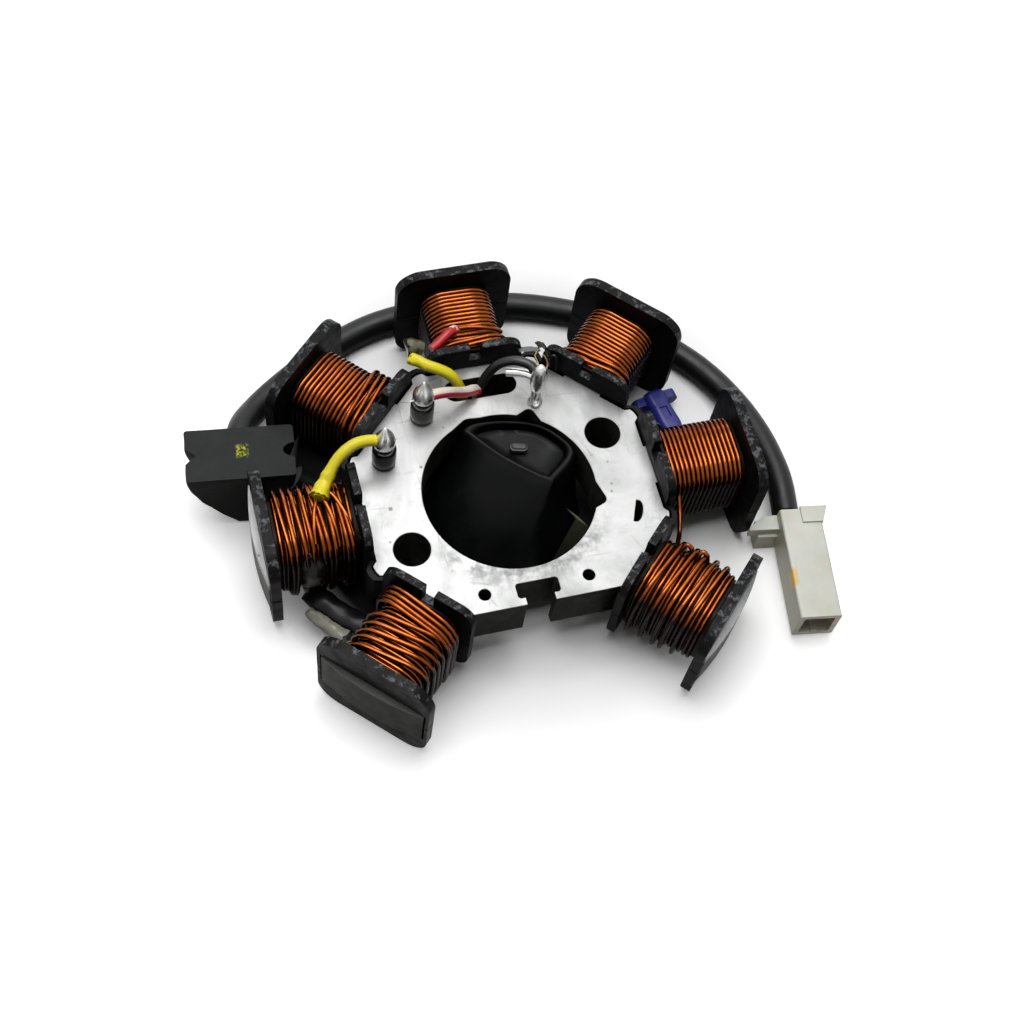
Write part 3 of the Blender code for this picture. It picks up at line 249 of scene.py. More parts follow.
GOLD_WIRES = (
    ((9.8, 17.4, 6.6), (11.2, 19.4, 5.6), (11.8, 21.4, 4.6), (11.6, 22.8, 4.4)),
    ((8.9, 17.3, 7.4), (9.4, 19.6, 7.0), (9.6, 21.8, 5.8), (10.6, 23.2, 5.4)),
)
BLACK_LOOPS = (
    ((26.9, 6.9, -3.0), (27.2, 7.2, -0.6), (28.2, 7.3, 0.6), (29.2, 7.2, -0.4), (29.6, 7.0, -3.0)),
    ((12.4, 22.4, 4.0), (13.4, 22.0, 4.6), (13.9, 21.4, 3.2), (13.7, 21.0, 1.4)),
)
COPPER_LOOPS = (
    ((24.3, -18.9, 2.2), (24.7, -18.4, 3.4), (25.4, -18.3, 4.2), (26.0, -18.9, 3.9), (26.2, -19.6, 2.6)),
    ((26.8, -20.5, 2.4), (27.2, -20.1, 3.4), (27.8, -20.0, 3.9), (28.3, -20.6, 3.4), (28.4, -21.2, 2.4)),
    (
        (28.8, -5.6, -1.0), (28.7, -6.9, -2.0), (28.3, -9.4, -3.0), (27.2, -12.6, -2.8),
        (25.9, -15.0, -1.4), (25.3, -16.6, -0.4),
    ),
)
LUMP = (2.5 * MM, 5.0 * MM)
LUMP_SPOT = (-35.2, -5.9, -3.2)

# Pick-up coil, in millimetres from the bore axis
PICKUP_BASE = (
    (-8.5, 12.0), (-11.5, 9.6), (-14.4, 6.2), (-13.2, -0.5), (-9.6, -5.2), (-3.6, -8.6),
    (2.4, -10.6), (11.6, -5.0), (14.4, 2.0), (12.6, 7.4), (9.0, 12.0), (1.0, 13.0),
)
PICKUP_TOP = (
    (-4.9, 13.3), (-3.7, 11.4), (-1.6, 8.6), (0.5, 6.1), (3.6, 3.2), (7.2, 0.4), (8.6, 0.9),
    (12.9, 4.9), (11.2, 8.9), (7.6, 12.0), (2.2, 13.7), (-2.4, 14.1),
)
PICKUP_MIDDLE = (5.6, 9.4)
# Shares of the top outline and heights, over the ridge and down into the recess
PICKUP_CROWN = (
    (0.99, 15.2), (0.96, 15.4), (0.91, 15.4), (0.86, 15.1),
    (0.82, 14.5), (0.8, 13.7), (0.78, 13.45), (0.5, 13.4),
)
PICKUP_FLOOR = 13.4 * MM
TIP_SPOT = (3.9 * MM, 8.4 * MM)
TIP_TURN = -14.0
BRACKET_START = (6.0, -11.6, 2.5)
BRACKET_END = (11.4, -7.0, 11.5)
BRACKET_TAB = (-1.2, 2.4, 0.0)

# Worked out from the frame and the sizes above
CORE_LOW, CORE_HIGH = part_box("lamination_stack")
AXIS_Y = CORE_HIGH.y - SHOE_RADIUS
PLATE_TOP = CORE_HIGH.z
PLATE_UNDER = CORE_LOW.z
MID_Z = (PLATE_TOP + PLATE_UNDER) / 2
CORE_HALF = (PLATE_TOP - PLATE_UNDER) / 2
AXIS = Vector((0, AXIS_Y, 0))
SHOE_BACK = math.sqrt(SHOE_RADIUS ** 2 - (SHOE_WIDTH / 2) ** 2) - SHOE_TIP
TAB_BACK = TAB_FACE + TAB_THICKNESS
NECK_HALF_WIDTH = TOOTH_WIDTH / 2 + GAP + WALL
NECK_HALF_HEIGHT = CORE_HALF + GAP + WALL
COIL_START = TAB_BACK + GAP
COIL_END = FLANGE_INNER_FACE - GAP
POLE_STEP = 45.0
EMPTY_POLE = -90.0
POLE_ANGLES = [EMPTY_POLE - POLE_STEP * (i + 1) for i in range(7)]

# Camera
CAMERA_AZIMUTH = -0.42051
CAMERA_ELEVATION = 1.06588
CAMERA_ROLL = 0.19175
CAMERA_DISTANCE = 271.92 * MM
CAMERA_RIGHT = 0.38087 * MM
CAMERA_UP = -3.84312 * MM
CAMERA_LENS = 56.25

# Softboxes: name, place in metres, width and height, power
SOFTBOXES = (
    ("top_softbox", (-0.02, 0.10, 0.60), (0.50, 0.42), 3.2),
    ("back_softbox", (0.05, 0.52, 0.42), (0.50, 0.22), 0.55),
    ("left_softbox", (-0.50, -0.05, 0.36), (0.22, 0.30), 0.18),
)
SOFTBOX_AIM = (0, 0, 0.01)
WORLD_LIGHT = 0.10

# Floor. It is not plain: its paint is almost black in three areas, which look like shadow but are not.
FLOOR_PALE = (0.93, 0.93, 0.93)
FLOOR_UNSEEN = (0.40, 0.40, 0.40)
FLOOR_DARK = (0.015, 0.015, 0.015)
FLOOR_GLOW = 0.55
# Dark areas: centre from the bore axis, radius of the full dark, radius where it ends, in millimetres.
# The camera sees the first through the bore, the others between poles 2 and 3 and poles 1 and 2.
DARK_AREAS = (((2.0, 6.0), 21.5, 26.5), ((-28.2, 21.6), 6.0, 11.0), ((-30.1, -8.1), 6.0, 11.0))
# The glow starts at the first radius about this centre and is full at the second, in millimetres
# Leaving out the glow nearer the object paints a shadow about it.
GLOW_START = ((6.0, 12.0), 40.0, 65.0)


# Materials

class Look:
    """A Principled material whose nodes are added one by one."""

    def __init__(self, name, colour, roughness=0.5, metallic=0.0, **sockets):
        self.material = bpy.data.materials.new(name)
        self.material.use_nodes = True
        self.tree = self.material.node_tree
        self.shader = self.tree.nodes["Principled BSDF"]
        self.set("Base Color", (*colour, 1.0))
        self.set("Roughness", roughness)
        self.set("Metallic", metallic)
        for socket, value in sockets.items():
            self.set(socket.replace("_", " "), value)

    def set(self, socket, value):
        if isinstance(value, bpy.types.NodeSocket):
            self.tree.links.new(value, self.shader.inputs[socket])
        else:
            self.shader.inputs[socket].default_value = value

    def node(self, kind, inputs=None, **settings):
        made = self.tree.nodes.new(kind)
        for name, value in settings.items():
            setattr(made, name, value)
        for key, value in (inputs or {}).items():
            if isinstance(value, bpy.types.NodeSocket):
                self.tree.links.new(value, made.inputs[key])
            else:
                made.inputs[key].default_value = value
        return made

    def place(self, kind="Object"):
        """Coordinates of the surface, in metres for Object."""
        return self.node("ShaderNodeTexCoord").outputs[kind]

    def stretched(self, scale, kind="Object", turn=(0, 0, 0)):
        inputs = {"Vector": self.place(kind), "Scale": scale, "Rotation": turn}
        return self.node("ShaderNodeMapping", inputs).outputs["Vector"]

    def clouds(self, scale, detail=4.0, rough=0.55, vector=None, distortion=0.0):
        inputs = {"Scale": scale, "Detail": detail, "Roughness": rough, "Distortion": distortion}
        inputs["Vector"] = vector or self.place()
        return self.node("ShaderNodeTexNoise", inputs).outputs["Fac"]

    def cells(self, scale, vector=None, feature="F1", output="Distance"):
        inputs = {"Scale": scale, "Vector": vector or self.place()}
        return self.node("ShaderNodeTexVoronoi", inputs, feature=feature).outputs[output]

    def step(self, value, low, high, to_low=0.0, to_high=1.0):
        inputs = {"Value": value, 1: low, 2: high, 3: to_low, 4: to_high}
        return self.node("ShaderNodeMapRange", inputs, clamp=True).outputs["Result"]

    def math(self, operation, a, b=0.0):
        return self.node("ShaderNodeMath", {0: a, 1: b}, operation=operation).outputs[0]

    def times(self, a, b):
        return self.math("MULTIPLY", a, b)

    def off(self, value, middle):
        """How far a value is from a middle one."""
        return self.math("ABSOLUTE", self.math("SUBTRACT", value, middle))

    def within(self, value, inner, outer):
        """1 below the inner value, 0 above the outer one."""
        return self.step(value, inner, outer, 1.0, 0.0)

    def from_axis(self, x, y):
        """Distance from the bore axis, seen from above."""
        flat = self.node("ShaderNodeCombineXYZ", {0: x, 1: y}).outputs[0]
        return self.node("ShaderNodeVectorMath", {0: flat}, operation="LENGTH").outputs["Value"]

    def mix(self, factor, first, second):
        made = self.node("ShaderNodeMix", {0: factor}, data_type="RGBA")
        for index, value in ((6, first), (7, second)):
            if isinstance(value, bpy.types.NodeSocket):
                self.tree.links.new(value, made.inputs[index])
            else:
                made.inputs[index].default_value = (*value, 1.0)
        return made.outputs[2]

    def bump(self, height, strength, distance, before=None):
        inputs = {"Height": height, "Strength": strength, "Distance": distance}
        if before:
            inputs["Normal"] = before
        return self.node("ShaderNodeBump", inputs).outputs["Normal"]

    def top_gloss(self, low, high):
        """Specular level: low on the sides, high where the surface faces up."""
        self.set("Specular IOR Level", self.step(self.height_of_normal(), 0.35, 0.9, low, high))

    def height_of_normal(self):
        normal = self.node("ShaderNodeNewGeometry").outputs["Normal"]
        return self.node("ShaderNodeSeparateXYZ", {0: normal}).outputs["Z"]

    def facing_up(self, low, high):
        """1 where the surface faces up, 0 where it doesn't."""
        return self.step(self.height_of_normal(), low, high)


def bare_heads(look, x):
    """1 on the T-heads whose rim is rubbed bare: the left one and those right of the empty place."""
    left = look.within(x, -0.0410, -0.0400)
    return look.math("MAXIMUM", left, look.step(x, 0.0, 0.001))


def steel_face():
    """Pale worn steel: fine scratches, specks and a mottled zone in front of the bore."""
    look = Look("steel_face", (0.45, 0.45, 0.45), 0.42, 0.35)
    place = look.place()
    grain = look.clouds(900.0, 3.0)
    broad = look.clouds(55.0, 6.0, 0.62, look.stretched((1.0, 0.55, 1.0), turn=(0, 0, 0.6)), 0.8)
    fine_scratch = look.cells(160.0, look.stretched((1, 0.16, 1), turn=(0, 0, 0.5)), "DISTANCE_TO_EDGE")
    long_scratch = look.cells(95.0, look.stretched((0.12, 1, 1), turn=(0, 0, -0.35)), "DISTANCE_TO_EDGE")
    scratch_a = look.within(fine_scratch, 0.0, 0.012)
    scratch_b = look.within(long_scratch, 0.0, 0.008)
    patchy = look.step(look.clouds(140.0, 2.0), 0.5, 0.62)
    scratches = look.times(look.math("MAXIMUM", scratch_a, scratch_b), patchy)
    specks = look.within(look.cells(420.0), 0.06, 0.16)
    rare = look.step(look.clouds(210.0, 2.0), 0.56, 0.62)
    specks = look.times(specks, rare)
    parts = look.node("ShaderNodeSeparateXYZ", {0: place})
    radius = look.from_axis(parts.outputs["X"], parts.outputs["Y"])
    near = look.within(radius, 0.0165, 0.0195)
    front = look.within(parts.outputs["Y"], -0.012, -0.006)
    zone = look.times(near, front)
    mottle = look.step(look.clouds(420.0, 6.0, 0.7), 0.42, 0.6)
    mottle = look.times(mottle, zone)
    tone = look.mix(look.step(broad, 0.38, 0.66), (0.53, 0.535, 0.53), (0.30, 0.305, 0.30))
    tone = look.mix(look.times(mottle, 0.7), tone, (0.17, 0.175, 0.17))
    smears = look.step(look.clouds(300.0, 6.0, 0.75), 0.52, 0.7)
    tone = look.mix(look.times(smears, 0.4), tone, (0.24, 0.245, 0.24))
    tone = look.mix(look.times(scratches, 0.6), tone, (0.15, 0.15, 0.145))
    tone = look.mix(look.times(specks, 0.8), tone, (0.07, 0.068, 0.06))
    varnished = look.math("SUBTRACT", look.step(radius, 0.036, 0.038), bare_heads(look, parts.outputs["X"]))
    tone = look.mix(look.times(look.math("MAXIMUM", varnished, 0.0), 0.9), tone, (0.03, 0.03, 0.024))
    across = look.math("ABSOLUTE", look.math("ADD", parts.outputs["X"], 0.0206))
    along = look.off(parts.outputs["Y"], 0.00035)
    mark = look.within(look.math("MAXIMUM", across, along), 0.0003, 0.00036)
    tone = look.mix(look.times(mark, 0.8), tone, (0.12, 0.11, 0.09))
    look.set("Base Color", tone)
    look.set("Roughness", look.step(look.math("ADD", broad, look.times(mottle, 0.4)), 0.3, 1.0, 0.3, 0.6))
    first = look.bump(grain, 0.08, 0.00008)
    look.set("Normal", look.bump(scratches, 0.25, 0.00005, first))
    return look.material


def core_edge():
    """Dark varnished sheet edges with a little bare metal showing through, and a painted highlight on each
    sheet.
    """
    look = Look("core_edge", (0.02, 0.021, 0.017), 0.36)
    streaks = look.clouds(420.0, 4.0, 0.6, look.stretched((1, 1, 0.25)))
    tone = look.mix(look.step(streaks, 0.35, 0.75), (0.0045, 0.005, 0.0035), (0.015, 0.015, 0.011))
    rubbed = look.step(look.clouds(160.0, 5.0, 0.7), 0.62, 0.72)
    tone = look.mix(look.times(rubbed, 0.35), tone, (0.06, 0.06, 0.05))
    parts = look.node("ShaderNodeSeparateXYZ", {0: look.place()})
    radius = look.from_axis(parts.outputs["X"], parts.outputs["Y"])
    worn = look.math("ADD", parts.outputs["Z"], look.times(look.clouds(230.0, 3.0), 0.0016))
    band = look.times(look.step(worn, 0.0148, 0.0152), look.step(radius, 0.0425, 0.043))
    band = look.times(band, bare_heads(look, parts.outputs["X"]))
    # Painted highlight: each sheet lighter in its middle and darker towards its seams, in patches.
    sheet = look.math("FRACT", look.times(parts.outputs["Z"], SHEETS / (2 * CORE_HALF)))
    sheet_highlight = look.within(look.off(sheet, 0.5), 0.3, 0.45)
    sheet_highlight = look.times(sheet_highlight, look.step(look.clouds(260.0, 2.0), 0.4, 0.6))
    tone = look.mix(look.times(sheet_highlight, 0.6), tone, (0.045, 0.045, 0.038))
    look.top_gloss(0.03, 0.12)
    look.set("Base Color", look.mix(look.times(band, 0.9), tone, (0.48, 0.48, 0.455)))
    look.set("Roughness", look.step(streaks, 0.3, 0.8, 0.3, 0.5))
    look.set("Normal", look.bump(look.clouds(900.0, 3.0), 0.12, 0.0001))
    return look.material


def moulded_black():
    """Black nylon with pale patches on the edges that face up, partly wear and partly painted highlight."""
    look = Look("moulded_black", (0.006, 0.006, 0.006), 0.4)
    look.top_gloss(0.03, 0.1)
    up = look.facing_up(0.35, 0.85)
    patches = look.step(look.clouds(750.0, 5.0, 0.7), 0.52, 0.62)
    above = look.node("ShaderNodeSeparateXYZ", {0: look.place()}).outputs["Z"]
    up = look.times(up, look.step(above, 0.0155, 0.0175))
    # Pale patches on top edges that face up: partly wear, partly painted highlight.
    wear_and_highlight = look.times(look.times(up, patches), 0.75)
    drift = look.step(look.clouds(120.0, 3.0), 0.4, 0.7)
    tone = look.mix(drift, (0.0025, 0.0025, 0.0025), (0.007, 0.007, 0.0072))
    look.set("Base Color", look.mix(wear_and_highlight, tone, (0.15, 0.16, 0.17)))
    look.set("Roughness", look.step(look.clouds(500.0, 4.0), 0.3, 0.75, 0.3, 0.55))
    first = look.bump(look.clouds(520.0, 4.0, 0.6), 0.35, 0.00018)
    look.set("Normal", look.bump(look.clouds(130.0, 2.0), 0.3, 0.0005, first))
    return look.material


def enamelled_copper():
    """Copper wire under clear enamel, redder and darker in patches, with painted shade where it doesn't face
    up.
    """
    look = Look("enamelled_copper", (0.62, 0.2, 0.05), 0.24, 1.0)
    patch = look.clouds(150.0, 3.0, 0.6)
    tone = look.mix(look.step(patch, 0.35, 0.7), (0.37, 0.098, 0.022), (0.20, 0.041, 0.008))
    # Painted shade: near black, less metallic and less glossy where the wire doesn't face up.
    lit = look.height_of_normal()
    tone = look.mix(look.step(lit, 0.25, 1.0), (0.010, 0.0025, 0.001), tone)
    look.set("Metallic", look.step(lit, 0.1, 0.55, 0.1, 1.0))
    look.set("Specular IOR Level", look.step(lit, 0.2, 0.7, 0.03, 0.4))
    dull = look.step(look.clouds(900.0, 3.0), 0.56, 0.7)
    look.set("Base Color", look.mix(look.times(dull, 0.35), tone, (0.06, 0.014, 0.004)))
    look.set("Roughness", look.step(patch, 0.3, 0.7, 0.15, 0.3))
    return look.material


def tinned(name, colour=(0.66, 0.665, 0.66), rough=0.2):
    """Solder and tinned metal, slightly lumpy."""
    look = Look(name, colour, rough, 1.0)
    cloud = look.clouds(700.0, 4.0, 0.6)
    dark = tuple(0.45 * c for c in colour)
    look.set("Base Color", look.mix(look.step(cloud, 0.55, 0.8), colour, dark))
    look.set("Roughness", look.step(cloud, 0.3, 0.8, rough, rough + 0.22))
    look.set("Normal", look.bump(look.clouds(380.0, 2.0), 0.15, 0.0002))
    return look.material


def plastic(name, colour, rough=0.4, dirt=0.25, grain=600.0, gloss=(0.4, 0.5), side=1.0, **sockets):
    """Moulded or extruded plastic: slight colour drift, dirt, a fine grain, and painted shade times side
    where it doesn't face up.
    """
    look = Look(name, colour, rough, **sockets)
    look.top_gloss(*gloss)
    dark = tuple(0.55 * c for c in colour)
    drift = look.step(look.clouds(170.0, 4.0, 0.6), 0.45, 0.8)
    tone = look.mix(look.times(drift, dirt), colour, dark)
    # Painted shade: where the surface doesn't face up, the colour is times side.
    shaded = tuple(side * c for c in colour)
    look.set("Base Color", look.mix(look.step(look.height_of_normal(), -0.1, 0.7), shaded, tone))
    look.set("Roughness", look.step(look.clouds(grain, 4.0), 0.3, 0.8, rough - 0.08, rough + 0.14))
    look.set("Normal", look.bump(look.clouds(grain, 3.0), 0.15, 0.0001))
    return look.material


def striped_lead():
    """Cream insulation with one red stripe along it and brown scuffs."""
    look = Look("striped_lead", (0.80, 0.72, 0.62), 0.42)
    parts = look.node("ShaderNodeSeparateXYZ", {0: look.place("UV")})
    around = parts.outputs["X"]
    stripe = look.math("SUBTRACT", 1.0, look.step(look.off(around, 0.36), 0.11, 0.13))
    scuffs = look.step(look.clouds(420.0, 4.0), 0.52, 0.68)
    tone = look.mix(look.times(scuffs, 0.45), (0.82, 0.74, 0.64), (0.42, 0.25, 0.16))
    look.set("Base Color", look.mix(stripe, tone, (0.56, 0.02, 0.045)))
    look.set("Normal", look.bump(look.clouds(600.0, 3.0), 0.15, 0.0001))
    return look.material


def rubber_with_dab():
    """Dark rubber with a small rubbed dab of yellow paint on top, and painted shade on the sides."""
    look = Look("grommet_rubber", (0.02, 0.02, 0.02), 0.62)
    look.top_gloss(0.04, 0.2)
    parts = look.node("ShaderNodeSeparateXYZ", {0: look.place()})
    across = look.off(parts.outputs["X"], 0.0004)
    along = look.off(parts.outputs["Y"], 0.0004)
    inside = look.times(look.within(across, 0.0007, 0.0012), look.within(along, 0.0009, 0.0015))
    dab = look.times(inside, look.step(look.clouds(1500.0, 4.0, 0.7), 0.46, 0.56))
    dab = look.times(dab, look.facing_up(0.7, 0.9))
    drift = look.step(look.clouds(190.0, 4.0), 0.4, 0.75)
    tone = look.mix(drift, (0.009, 0.0095, 0.010), (0.017, 0.0175, 0.018))
    # Painted shade: the faces that don't face up are near black.
    tone = look.mix(look.facing_up(0.3, 0.8), (0.002, 0.002, 0.0017), tone)
    look.set("Base Color", look.mix(dab, tone, (0.42, 0.47, 0.03)))
    look.set("Normal", look.bump(look.clouds(900.0, 4.0, 0.7), 0.3, 0.0002))
    return look.material


def milky_nylon():
    """Translucent nylon with a yellow ink mark on its left side, and painted shade where it doesn't face up.
    """
    look = Look("milky_nylon", (0.80, 0.80, 0.73), 0.36, Subsurface_Weight=0.35, Subsurface_Scale=0.002)
    parts = look.node("ShaderNodeSeparateXYZ", {0: look.place()})
    along = look.math("ABSOLUTE", look.math("ADD", parts.outputs["Y"], 0.0132))
    high = look.off(parts.outputs["Z"], 0.0072)
    left = look.within(parts.outputs["X"], -0.0030, -0.0026)
    spot = look.times(look.within(along, 0.0012, 0.0020), look.within(high, 0.0010, 0.0014))
    mark = look.times(look.times(spot, left), 0.85)
    drift = look.step(look.clouds(120.0, 3.0), 0.35, 0.75)
    tone = look.mix(drift, (0.70, 0.705, 0.64), (0.58, 0.585, 0.50))
    # Painted shade: a darker beige where the surface doesn't face up.
    tone = look.mix(look.step(look.height_of_normal(), 0.1, 0.6), (0.42, 0.40, 0.29), tone)
    look.set("Base Color", look.mix(mark, tone, (0.80, 0.48, 0.01)))
    look.set("Normal", look.bump(look.clouds(260.0, 3.0), 0.12, 0.0003))
    return look.material


LOOKS = {
    "steel_face": steel_face(),
    "core_edge": core_edge(),
    "moulded_black": moulded_black(),
    "copper": enamelled_copper(),
    "solder": tinned("solder"),
    "tin": tinned("tin", (0.62, 0.62, 0.60), 0.22),
    "terminal": tinned("terminal_brass", (0.70, 0.55, 0.28), 0.25),
    "bracket": tinned("bracket_steel", (0.030, 0.032, 0.022), 0.4),
    "pole_tip": tinned("pole_tip", (0.055, 0.056, 0.055), 0.45),
    # Near black inner turns: painted shade in the gaps between the outer turns.
    "inner_copper_painted_shade": plastic("inner_turns_painted_shade", (0.012, 0.004, 0.0015), 0.4, 0.3, gloss=(0.03, 0.1)),
    "post_1": plastic("post_black", (0.005, 0.005, 0.005), 0.16, 0.1, gloss=(0.1, 0.4)),
    "post_2": plastic("post_olive", (0.028, 0.031, 0.021), 0.14, 0.2, gloss=(0.25, 0.5)),
    "gold": tinned("gold_wire", (0.60, 0.42, 0.16), 0.2),
    "olive": plastic("olive_sleeve", (0.085, 0.085, 0.045), 0.22, 0.4, 300.0, Coat_Weight=0.4),
    # side below 1 paints shade on the faces that don't face up
    "pale": plastic("pale_sleeve", (0.25, 0.25, 0.19), 0.35, 0.4, 300.0, side=0.4),
    "worn": plastic("worn_tape", (0.10, 0.105, 0.11), 0.45, 0.5, 300.0),
    "yellow": plastic("yellow_lead", (0.82, 0.70, 0.012), 0.36, 0.25, side=0.35),
    "striped": striped_lead(),
    "red": plastic("red_sleeve", (0.48, 0.006, 0.014), 0.36, 0.3, side=0.4),
    "black": plastic("black_lead", (0.008, 0.008, 0.009), 0.34, 0.2, gloss=(0.06, 0.5)),
    "blue_lead": plastic("blue_lead", (0.035, 0.032, 0.20), 0.4, 0.2),
    "sheath": plastic("cable_sheath", (0.005, 0.0053, 0.0055), 0.38, 0.2, 300.0, gloss=(0.04, 0.3)),
    "rubber": rubber_with_dab(),
    "nylon": milky_nylon(),
    "blue": plastic("blue_plastic", (0.022, 0.024, 0.20), 0.36, 0.35, gloss=(0.1, 0.4)),
    "pickup": plastic("pickup_plastic", (0.0016, 0.0018, 0.002), 0.42, 0.3, 350.0, gloss=(0.008, 0.15)),
    "glue": plastic("old_varnish", (0.009, 0.007, 0.005), 0.3, 0.3, 300.0, gloss=(0.08, 0.3)),
}


# Mesh helpers

def polar(radius, degrees):
    angle = math.radians(degrees)
    return (radius * math.cos(angle), radius * math.sin(angle))


def turned_point(point, degrees):
    """A point of a pole's own plan (out along the pole, across it), turned to the pole's angle."""
    angle = math.radians(degrees)
    out, across = point
    x = out * math.cos(angle) - across * math.sin(angle)
    y = out * math.sin(angle) + across * math.cos(angle)
    return (x, y)


def circle(centre, radius, count):
    around = [polar(radius, 360.0 * i / count) for i in range(count)]
    return [(centre[0] + x, centre[1] + y) for x, y in around]


def rounded_rectangle(width, height, corner, steps=6):
    """Outline about the origin, anticlockwise."""
    points = []
    for quarter, (sx, sy) in enumerate(((1, 1), (-1, 1), (-1, -1), (1, -1))):
        cx = sx * (width / 2 - corner)
        cy = sy * (height / 2 - corner)
        for i in range(steps + 1):
            x, y = polar(corner, 90.0 * quarter + 90.0 * i / steps)
            points.append((cx + x, cy + y))
    return points


def to_mesh(bm):
    bmesh.ops.recalc_face_normals(bm, faces=bm.faces)
    mesh = bpy.data.meshes.new("piece")
    bm.to_mesh(mesh)
    bm.free()
    return mesh


def slab(outer, low, high, along="z"):
    """Closed solid: an outline extruded from low to high along one axis."""
    put = {
        "z": lambda a, b, c: Vector((a, b, c)),
        "x": lambda a, b, c: Vector((c, a, b)),
    }[along]
    bm = bmesh.new()
    first = [bm.verts.new(put(a, b, low)) for a, b in outer]
    second = [bm.verts.new(put(a, b, high)) for a, b in outer]
    bm.faces.new(first)
    bm.faces.new(second)
    for i in range(len(outer)):
        bm.faces.new((first[i - 1], first[i], second[i], second[i - 1]))
    return to_mesh(bm)


def loft(rings, closed=False):
    """Closed solid through rings of as many points each, with end caps, or joined end to end."""
    bm = bmesh.new()
    rows = [[bm.verts.new(point) for point in ring] for ring in rings]
    count = len(rows[0])
    spans = len(rows) if closed else len(rows) - 1
    for i in range(spans):
        first = rows[i]
        second = rows[(i + 1) % len(rows)]
        for j in range(count):
            k = (j + 1) % count
            bm.faces.new((first[j], first[k], second[k], second[j]))
    if not closed:
        bm.faces.new(rows[0])
        bm.faces.new(rows[-1])
    return to_mesh(bm)


def turned_solid(profile, count=40):
    """Solid of revolution about Z: profile points run (radius, height) from axis to axis."""
    bm = bmesh.new()
    previous = None
    for radius, height in profile:
        if radius <= 0:
            ring = [bm.verts.new((0, 0, height))]
        else:
            ring = [bm.verts.new((*polar(radius, 360.0 * i / count), height)) for i in range(count)]
        if previous:
            for i in range(count):
                a = previous[i % len(previous)]
                b = previous[(i + 1) % len(previous)]
                c = ring[(i + 1) % len(ring)]
                d = ring[i % len(ring)]
                bm.faces.new(list(dict.fromkeys((a, b, c, d))))
        previous = ring
    return to_mesh(bm)


def joined(meshes):
    bm = bmesh.new()
    for mesh in meshes:
        bm.from_mesh(mesh)
    return to_mesh(bm)


def copies(mesh, angles):
    """The same shell turned to each angle about Z, in one mesh."""
    bm = bmesh.new()
    for angle in angles:
        before = len(bm.verts)
        bm.from_mesh(mesh)
        bm.verts.ensure_lookup_table()
        turn = Matrix.Rotation(math.radians(angle), 3, "Z")
        bmesh.ops.rotate(bm, verts=bm.verts[before:], matrix=turn)
    return to_mesh(bm)


def combine(base, tools):
    """Apply Boolean steps to a mesh: each tool is an operation and a mesh."""
    body = bpy.data.objects.new("working_body", base)
    bpy.context.scene.collection.objects.link(body)
    helpers = []
    for operation, mesh in tools:
        helper = bpy.data.objects.new("working_tool", mesh)
        helper.hide_render = True
        bpy.context.scene.collection.objects.link(helper)
        helpers.append(helper)
        step = body.modifiers.new("step", "BOOLEAN")
        step.operation = operation
        step.solver = "EXACT"
        step.object = helper
    bpy.context.view_layer.update()
    depsgraph = bpy.context.evaluated_depsgraph_get()
    result = bpy.data.meshes.new_from_object(body.evaluated_get(depsgraph))
    for item in (body, *helpers):
        bpy.data.objects.remove(item, do_unlink=True)
    return result


def box(low, high):
    outline = [(low[0], low[1]), (high[0], low[1]), (high[0], high[1]), (low[0], high[1])]
    return slab(outline, low[2], high[2])


def smooth_route(points, spacing):
    """Points along a Catmull-Rom curve through the route, evenly spaced."""
    route = [Vector(p) for p in points]
    ends = [2 * route[0] - route[1], *route, 2 * route[-1] - route[-2]]
    fine = []
    steps = 16
    for i in range(1, len(ends) - 2):
        before, start, end, after = ends[i - 1], ends[i], ends[i + 1], ends[i + 2]
        for j in range(steps):
            t = j / steps
            pull = 2 * before - 5 * start + 4 * end - after
            bend = 3 * (start - end) + after - before
            fine.append(0.5 * (2 * start + (end - before) * t + pull * t ** 2 + bend * t ** 3))
    fine.append(route[-1])
    total = sum((b - a).length for a, b in zip(fine, fine[1:]))
    count = max(3, round(total / spacing))
    even = [fine[0]]
    walked = 0.0
    for a, b in zip(fine, fine[1:]):
        length = (b - a).length
        while len(even) < count and walked + length >= total * len(even) / count:
            even.append(a.lerp(b, (total * len(even) / count - walked) / length))
        walked += length
    even.append(fine[-1])
    return even


def tube(points, radius, sides=12, closed=False, round_ends=0.0):
    """Mesh tube along points, with UV x round the section and y along it."""
    count = len(points)
    tangents = []
    for i in range(count):
        before = points[i - 1] if i or closed else points[i]
        after = points[(i + 1) % count] if i < count - 1 or closed else points[i]
        tangents.append((after - before).normalized())
    normal = tangents[0].orthogonal().normalized()
    bm = bmesh.new()
    layer = bm.loops.layers.uv.new("around")
    rows = []
    for i, (point, tangent) in enumerate(zip(points, tangents)):
        normal = (normal - tangent * normal.dot(tangent)).normalized()
        across = tangent.cross(normal)
        size = radius(i / (count - 1)) if callable(radius) else radius
        row = []
        for k in range(sides):
            angle = 2 * math.pi * k / sides
            row.append(bm.verts.new(point + (normal * math.cos(angle) + across * math.sin(angle)) * size))
        rows.append(row)
    for i in range(count - 1):
        for k in range(sides):
            j = (k + 1) % sides
            face = bm.faces.new((rows[i][k], rows[i][j], rows[i + 1][j], rows[i + 1][k]))
            for loop, (u, v) in zip(face.loops, ((k, i), (k + 1, i), (k + 1, i + 1), (k, i + 1))):
                loop[layer].uv = (u / sides, v / count)
    for row, point, tangent in ((rows[0], points[0], -tangents[0]), (rows[-1], points[-1], tangents[-1])):
        if round_ends:
            tip = bm.verts.new(point + tangent * round_ends)
            for k in range(sides):
                bm.faces.new((row[k], row[(k + 1) % sides], tip))
        else:
            bm.faces.new(row)
    return to_mesh(bm)


